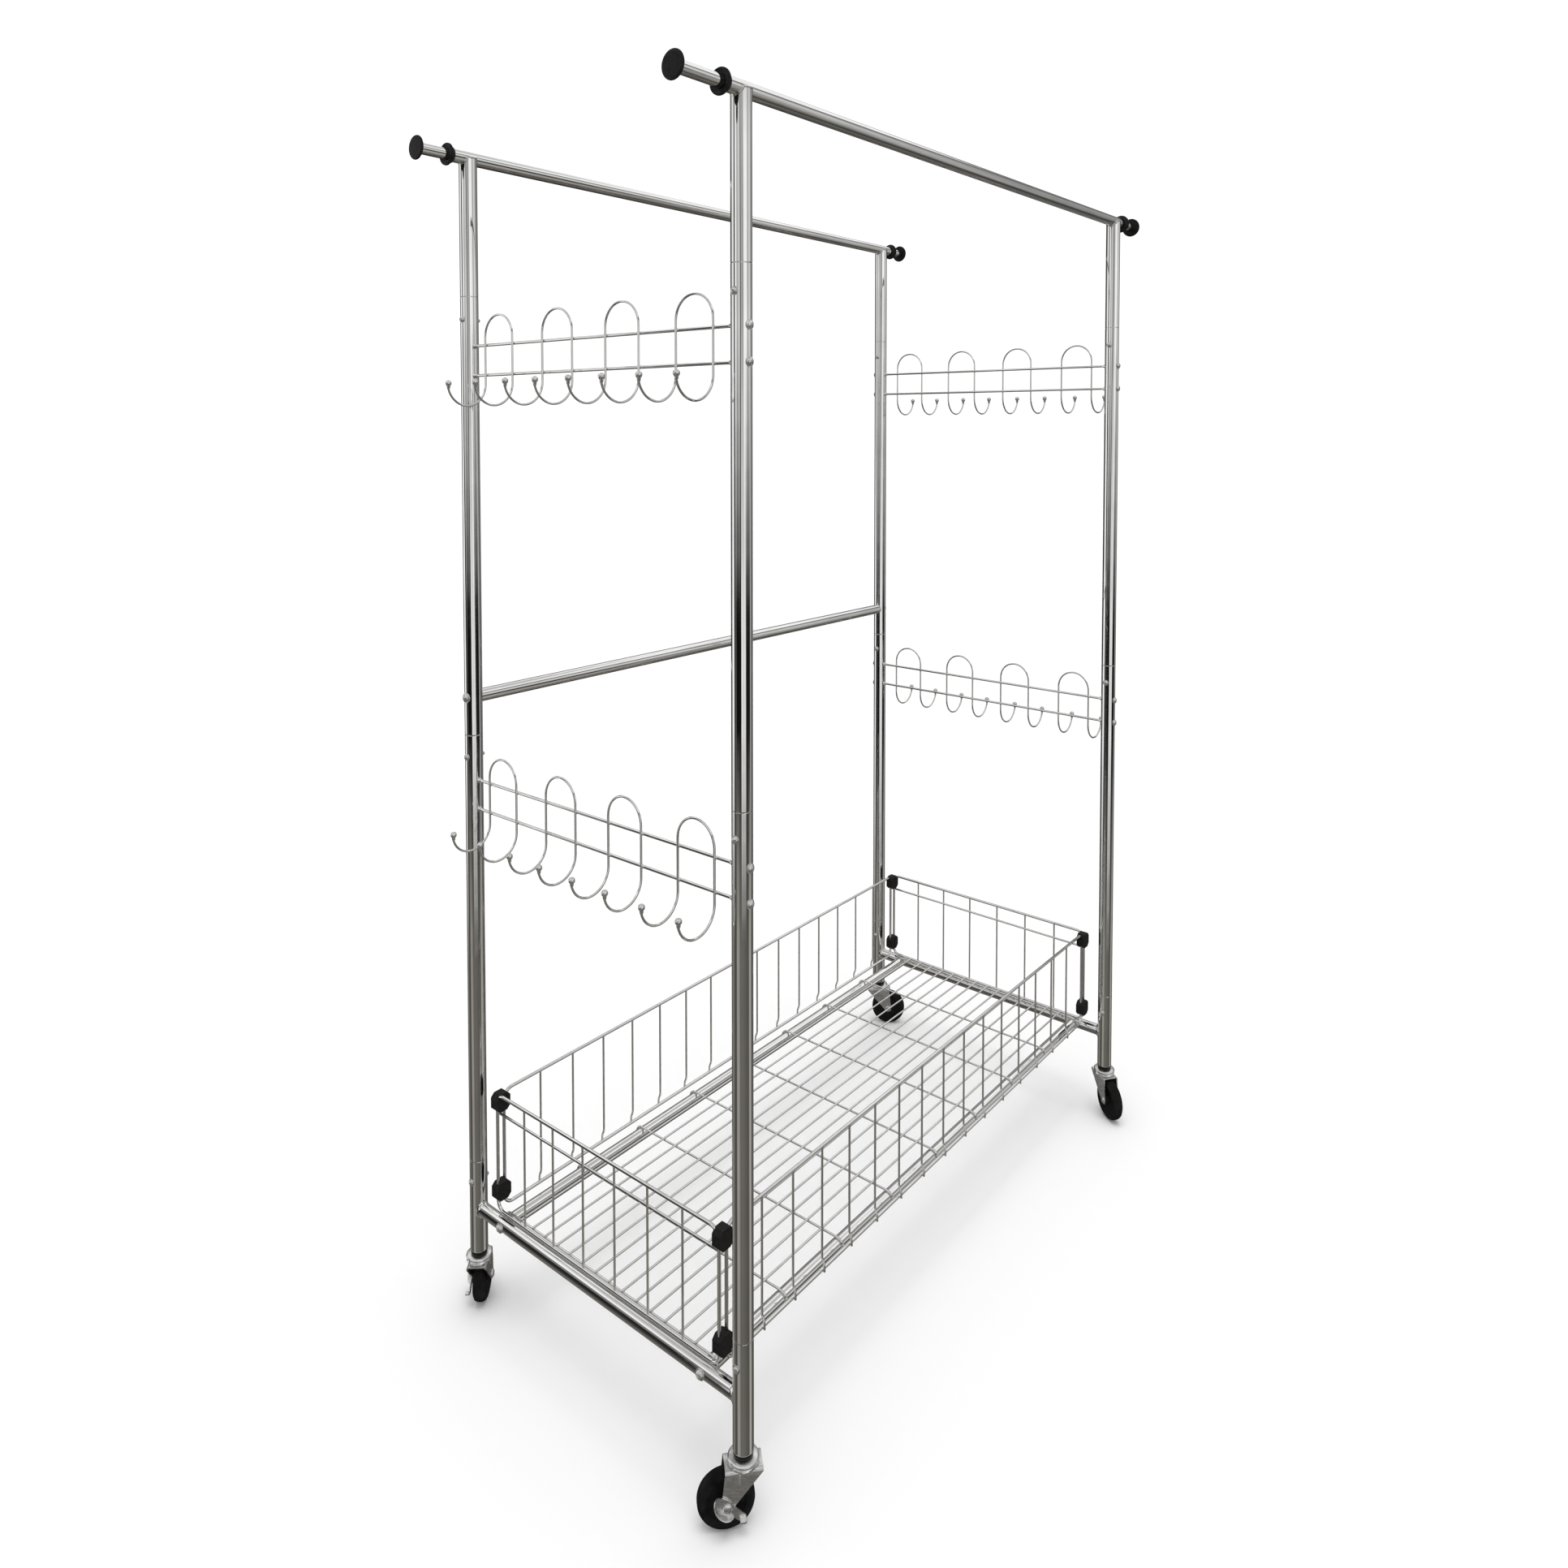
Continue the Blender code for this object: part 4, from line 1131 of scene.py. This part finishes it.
# The room that chrome mirrors, as windows (bright) and walls (dark) going round it. Each stop is the
# share of a turn from -X through -Y, and a brightness.
UPPER_ROOM = [
    (0.0, 0.45), (0.02, 0.65), (0.07, 0.65), (0.078, 0.03), (0.09, 0.03), (0.10, 0.45),
    (0.165, 0.33), (0.18, 1.0), (0.27, 1.0), (0.295, 0.35), (0.31, 0.35), (0.33, 0.7),
    (0.38, 0.7), (0.42, 0.3), (0.50, 0.18), (0.58, 0.2), (0.62, 0.3), (0.66, 0.04),
    (0.76, 0.02), (0.79, 0.7), (0.84, 1.0), (0.865, 1.0), (0.87, 0.02), (0.912, 0.02),
    (0.918, 1.0), (0.95, 1.0), (0.985, 0.4), (1.0, 0.45),
]
LOWER_ROOM = [
    (0.0, 0.005), (0.092, 0.01), (0.10, 0.8), (0.15, 0.9), (0.16, 0.4), (0.17, 0.85),
    (0.222, 0.8), (0.235, 0.01), (0.364, 0.01), (0.385, 0.4), (0.42, 0.35), (0.44, 0.07),
    (0.49, 0.07), (0.53, 0.3), (0.58, 0.12), (0.64, 0.02), (0.76, 0.02), (0.80, 1.0),
    (0.865, 1.0), (0.87, 0.02), (0.915, 0.02), (0.93, 0.15), (0.95, 0.01), (1.0, 0.005),
]
GROUND = [
    (0.0, 0.33), (0.05, 0.14), (0.108, 0.15), (0.2, 0.12), (0.3, 0.09), (0.345, 0.45),
    (0.38, 0.35), (0.45, 0.04), (0.5, 0.14), (0.6, 0.05), (0.7, 0.02), (0.75, 0.2),
    (0.82, 0.2), (0.86, 0.1), (0.92, 0.06), (0.96, 0.33), (1.0, 0.33),
]
GROUND_TINT = (1.0, 0.95, 0.86)
CEILING = [  # by height of the direction, 0 at the horizon and 1 overhead
    (0.0, 0.6), (0.3, 0.5), (0.42, 0.18), (0.52, 0.2), (0.56, 1.0), (0.72, 1.0),
    (0.78, 0.6), (1.0, 0.5),
]


class WorldGraph(Graph):
    def calculate(self, operation, first, second):
        node = self.add("ShaderNodeMath", operation=operation)
        for index, value in enumerate((first, second)):
            if isinstance(value, (int, float)):
                node.inputs[index].default_value = value
            else:
                self.link(value, node.inputs[index])
        return node.outputs[0]

    def blend(self, value, low, high, below, above):
        """below where value is under low, above where it is over high."""
        mix = self.add("ShaderNodeMix", data_type="RGBA")
        self.link(self.spread(value, 0, 1, (low, high)), mix.inputs["Factor"])
        self.link(below, mix.inputs["A"])
        self.link(above, mix.inputs["B"])
        return mix.outputs["Result"]

    def background(self, strength, color=None):
        node = self.add("ShaderNodeBackground")
        node.inputs["Strength"].default_value = strength
        node.inputs["Color"].default_value = rgba(1)
        if color:
            self.link(color, node.inputs["Color"])
        return node.outputs[0]

    def choose(self, ray, otherwise, chosen):
        mix = self.add("ShaderNodeMixShader")
        for socket, source in enumerate((ray, otherwise, chosen)):
            self.link(source, mix.inputs[socket])
        return mix.outputs[0]


def mirrored_room(g):
    """The room's brightness in each direction: ground, lower and upper walls, ceiling."""
    split = g.add("ShaderNodeSeparateXYZ")
    g.link(g.add("ShaderNodeTexCoord").outputs["Generated"], split.inputs[0])
    x, y, height = split.outputs
    turn = g.calculate("DIVIDE", g.calculate("ARCTAN2", y, x), math.tau)
    turn = g.calculate("ADD", turn, 0.5)
    ground = [(place, tuple(shade * part for part in GROUND_TINT)) for place, shade in GROUND]
    room = g.blend(height, -0.16, 0.10, g.ramp(turn, LOWER_ROOM), g.ramp(turn, UPPER_ROOM))
    room = g.blend(height, -0.42, -0.26, g.ramp(turn, ground), room)
    return g.blend(height, 0.22, 0.42, room, g.ramp(height, CEILING))


def studio_world():
    """White to the camera, an even light on the rack, and a banded room for its chrome."""
    world = bpy.data.worlds.new("studio")
    bpy.context.scene.world = world
    world.use_nodes = True
    world.node_tree.nodes.clear()
    g = WorldGraph(world.node_tree)
    room = g.background(1.0, mirrored_room(g))
    path = g.add("ShaderNodeLightPath").outputs
    seen = g.choose(path["Is Glossy Ray"], g.background(0.75), room)
    seen = g.choose(path["Is Camera Ray"], seen, g.background(1.1))
    g.link(seen, g.add("ShaderNodeOutputWorld").inputs["Surface"])


CAMERA_FROM_NEAR_POST = (-0.9642, -0.8524)
CAMERA_HEIGHT = 1.2974
CAMERA_YAW = math.radians(39.07)
CAMERA_PITCH = math.radians(-2.154)
CAMERA_SHIFT = (-0.0031, -0.1984)


def camera():
    """A wide view from outside the near left corner, at about three quarters of the rack's height."""
    data = bpy.data.cameras.new("camera")
    data.sensor_width = 36
    data.lens = 25.73
    data.shift_x, data.shift_y = CAMERA_SHIFT
    data.clip_end = 100
    obj = bpy.data.objects.new("camera", data)
    bpy.context.scene.collection.objects.link(obj)
    near = POSTS["front", "left"]
    across, deep = CAMERA_FROM_NEAR_POST
    obj.location = (near.x + across, near.y + deep, CAMERA_HEIGHT)
    level = math.cos(CAMERA_PITCH)
    ahead = Vector((math.cos(CAMERA_YAW) * level, math.sin(CAMERA_YAW) * level, math.sin(CAMERA_PITCH)))
    obj.rotation_euler = ahead.to_track_quat("-Z", "Y").to_euler()
    bpy.context.scene.camera = obj


def studio():
    camera()
    floor()
    overhead_light()
    studio_world()
    bpy.context.scene.view_settings.view_transform = "Standard"


def build():
    posts()
    seam_bolts()
    top_rails()
    mid_rail()
    rod_ends()
    hook_racks()
    rack_screws()
    base_frames()
    shelf_tubes()
    fences()
    basket_floor()
    corner_clips()
    castors()
    studio()


build()
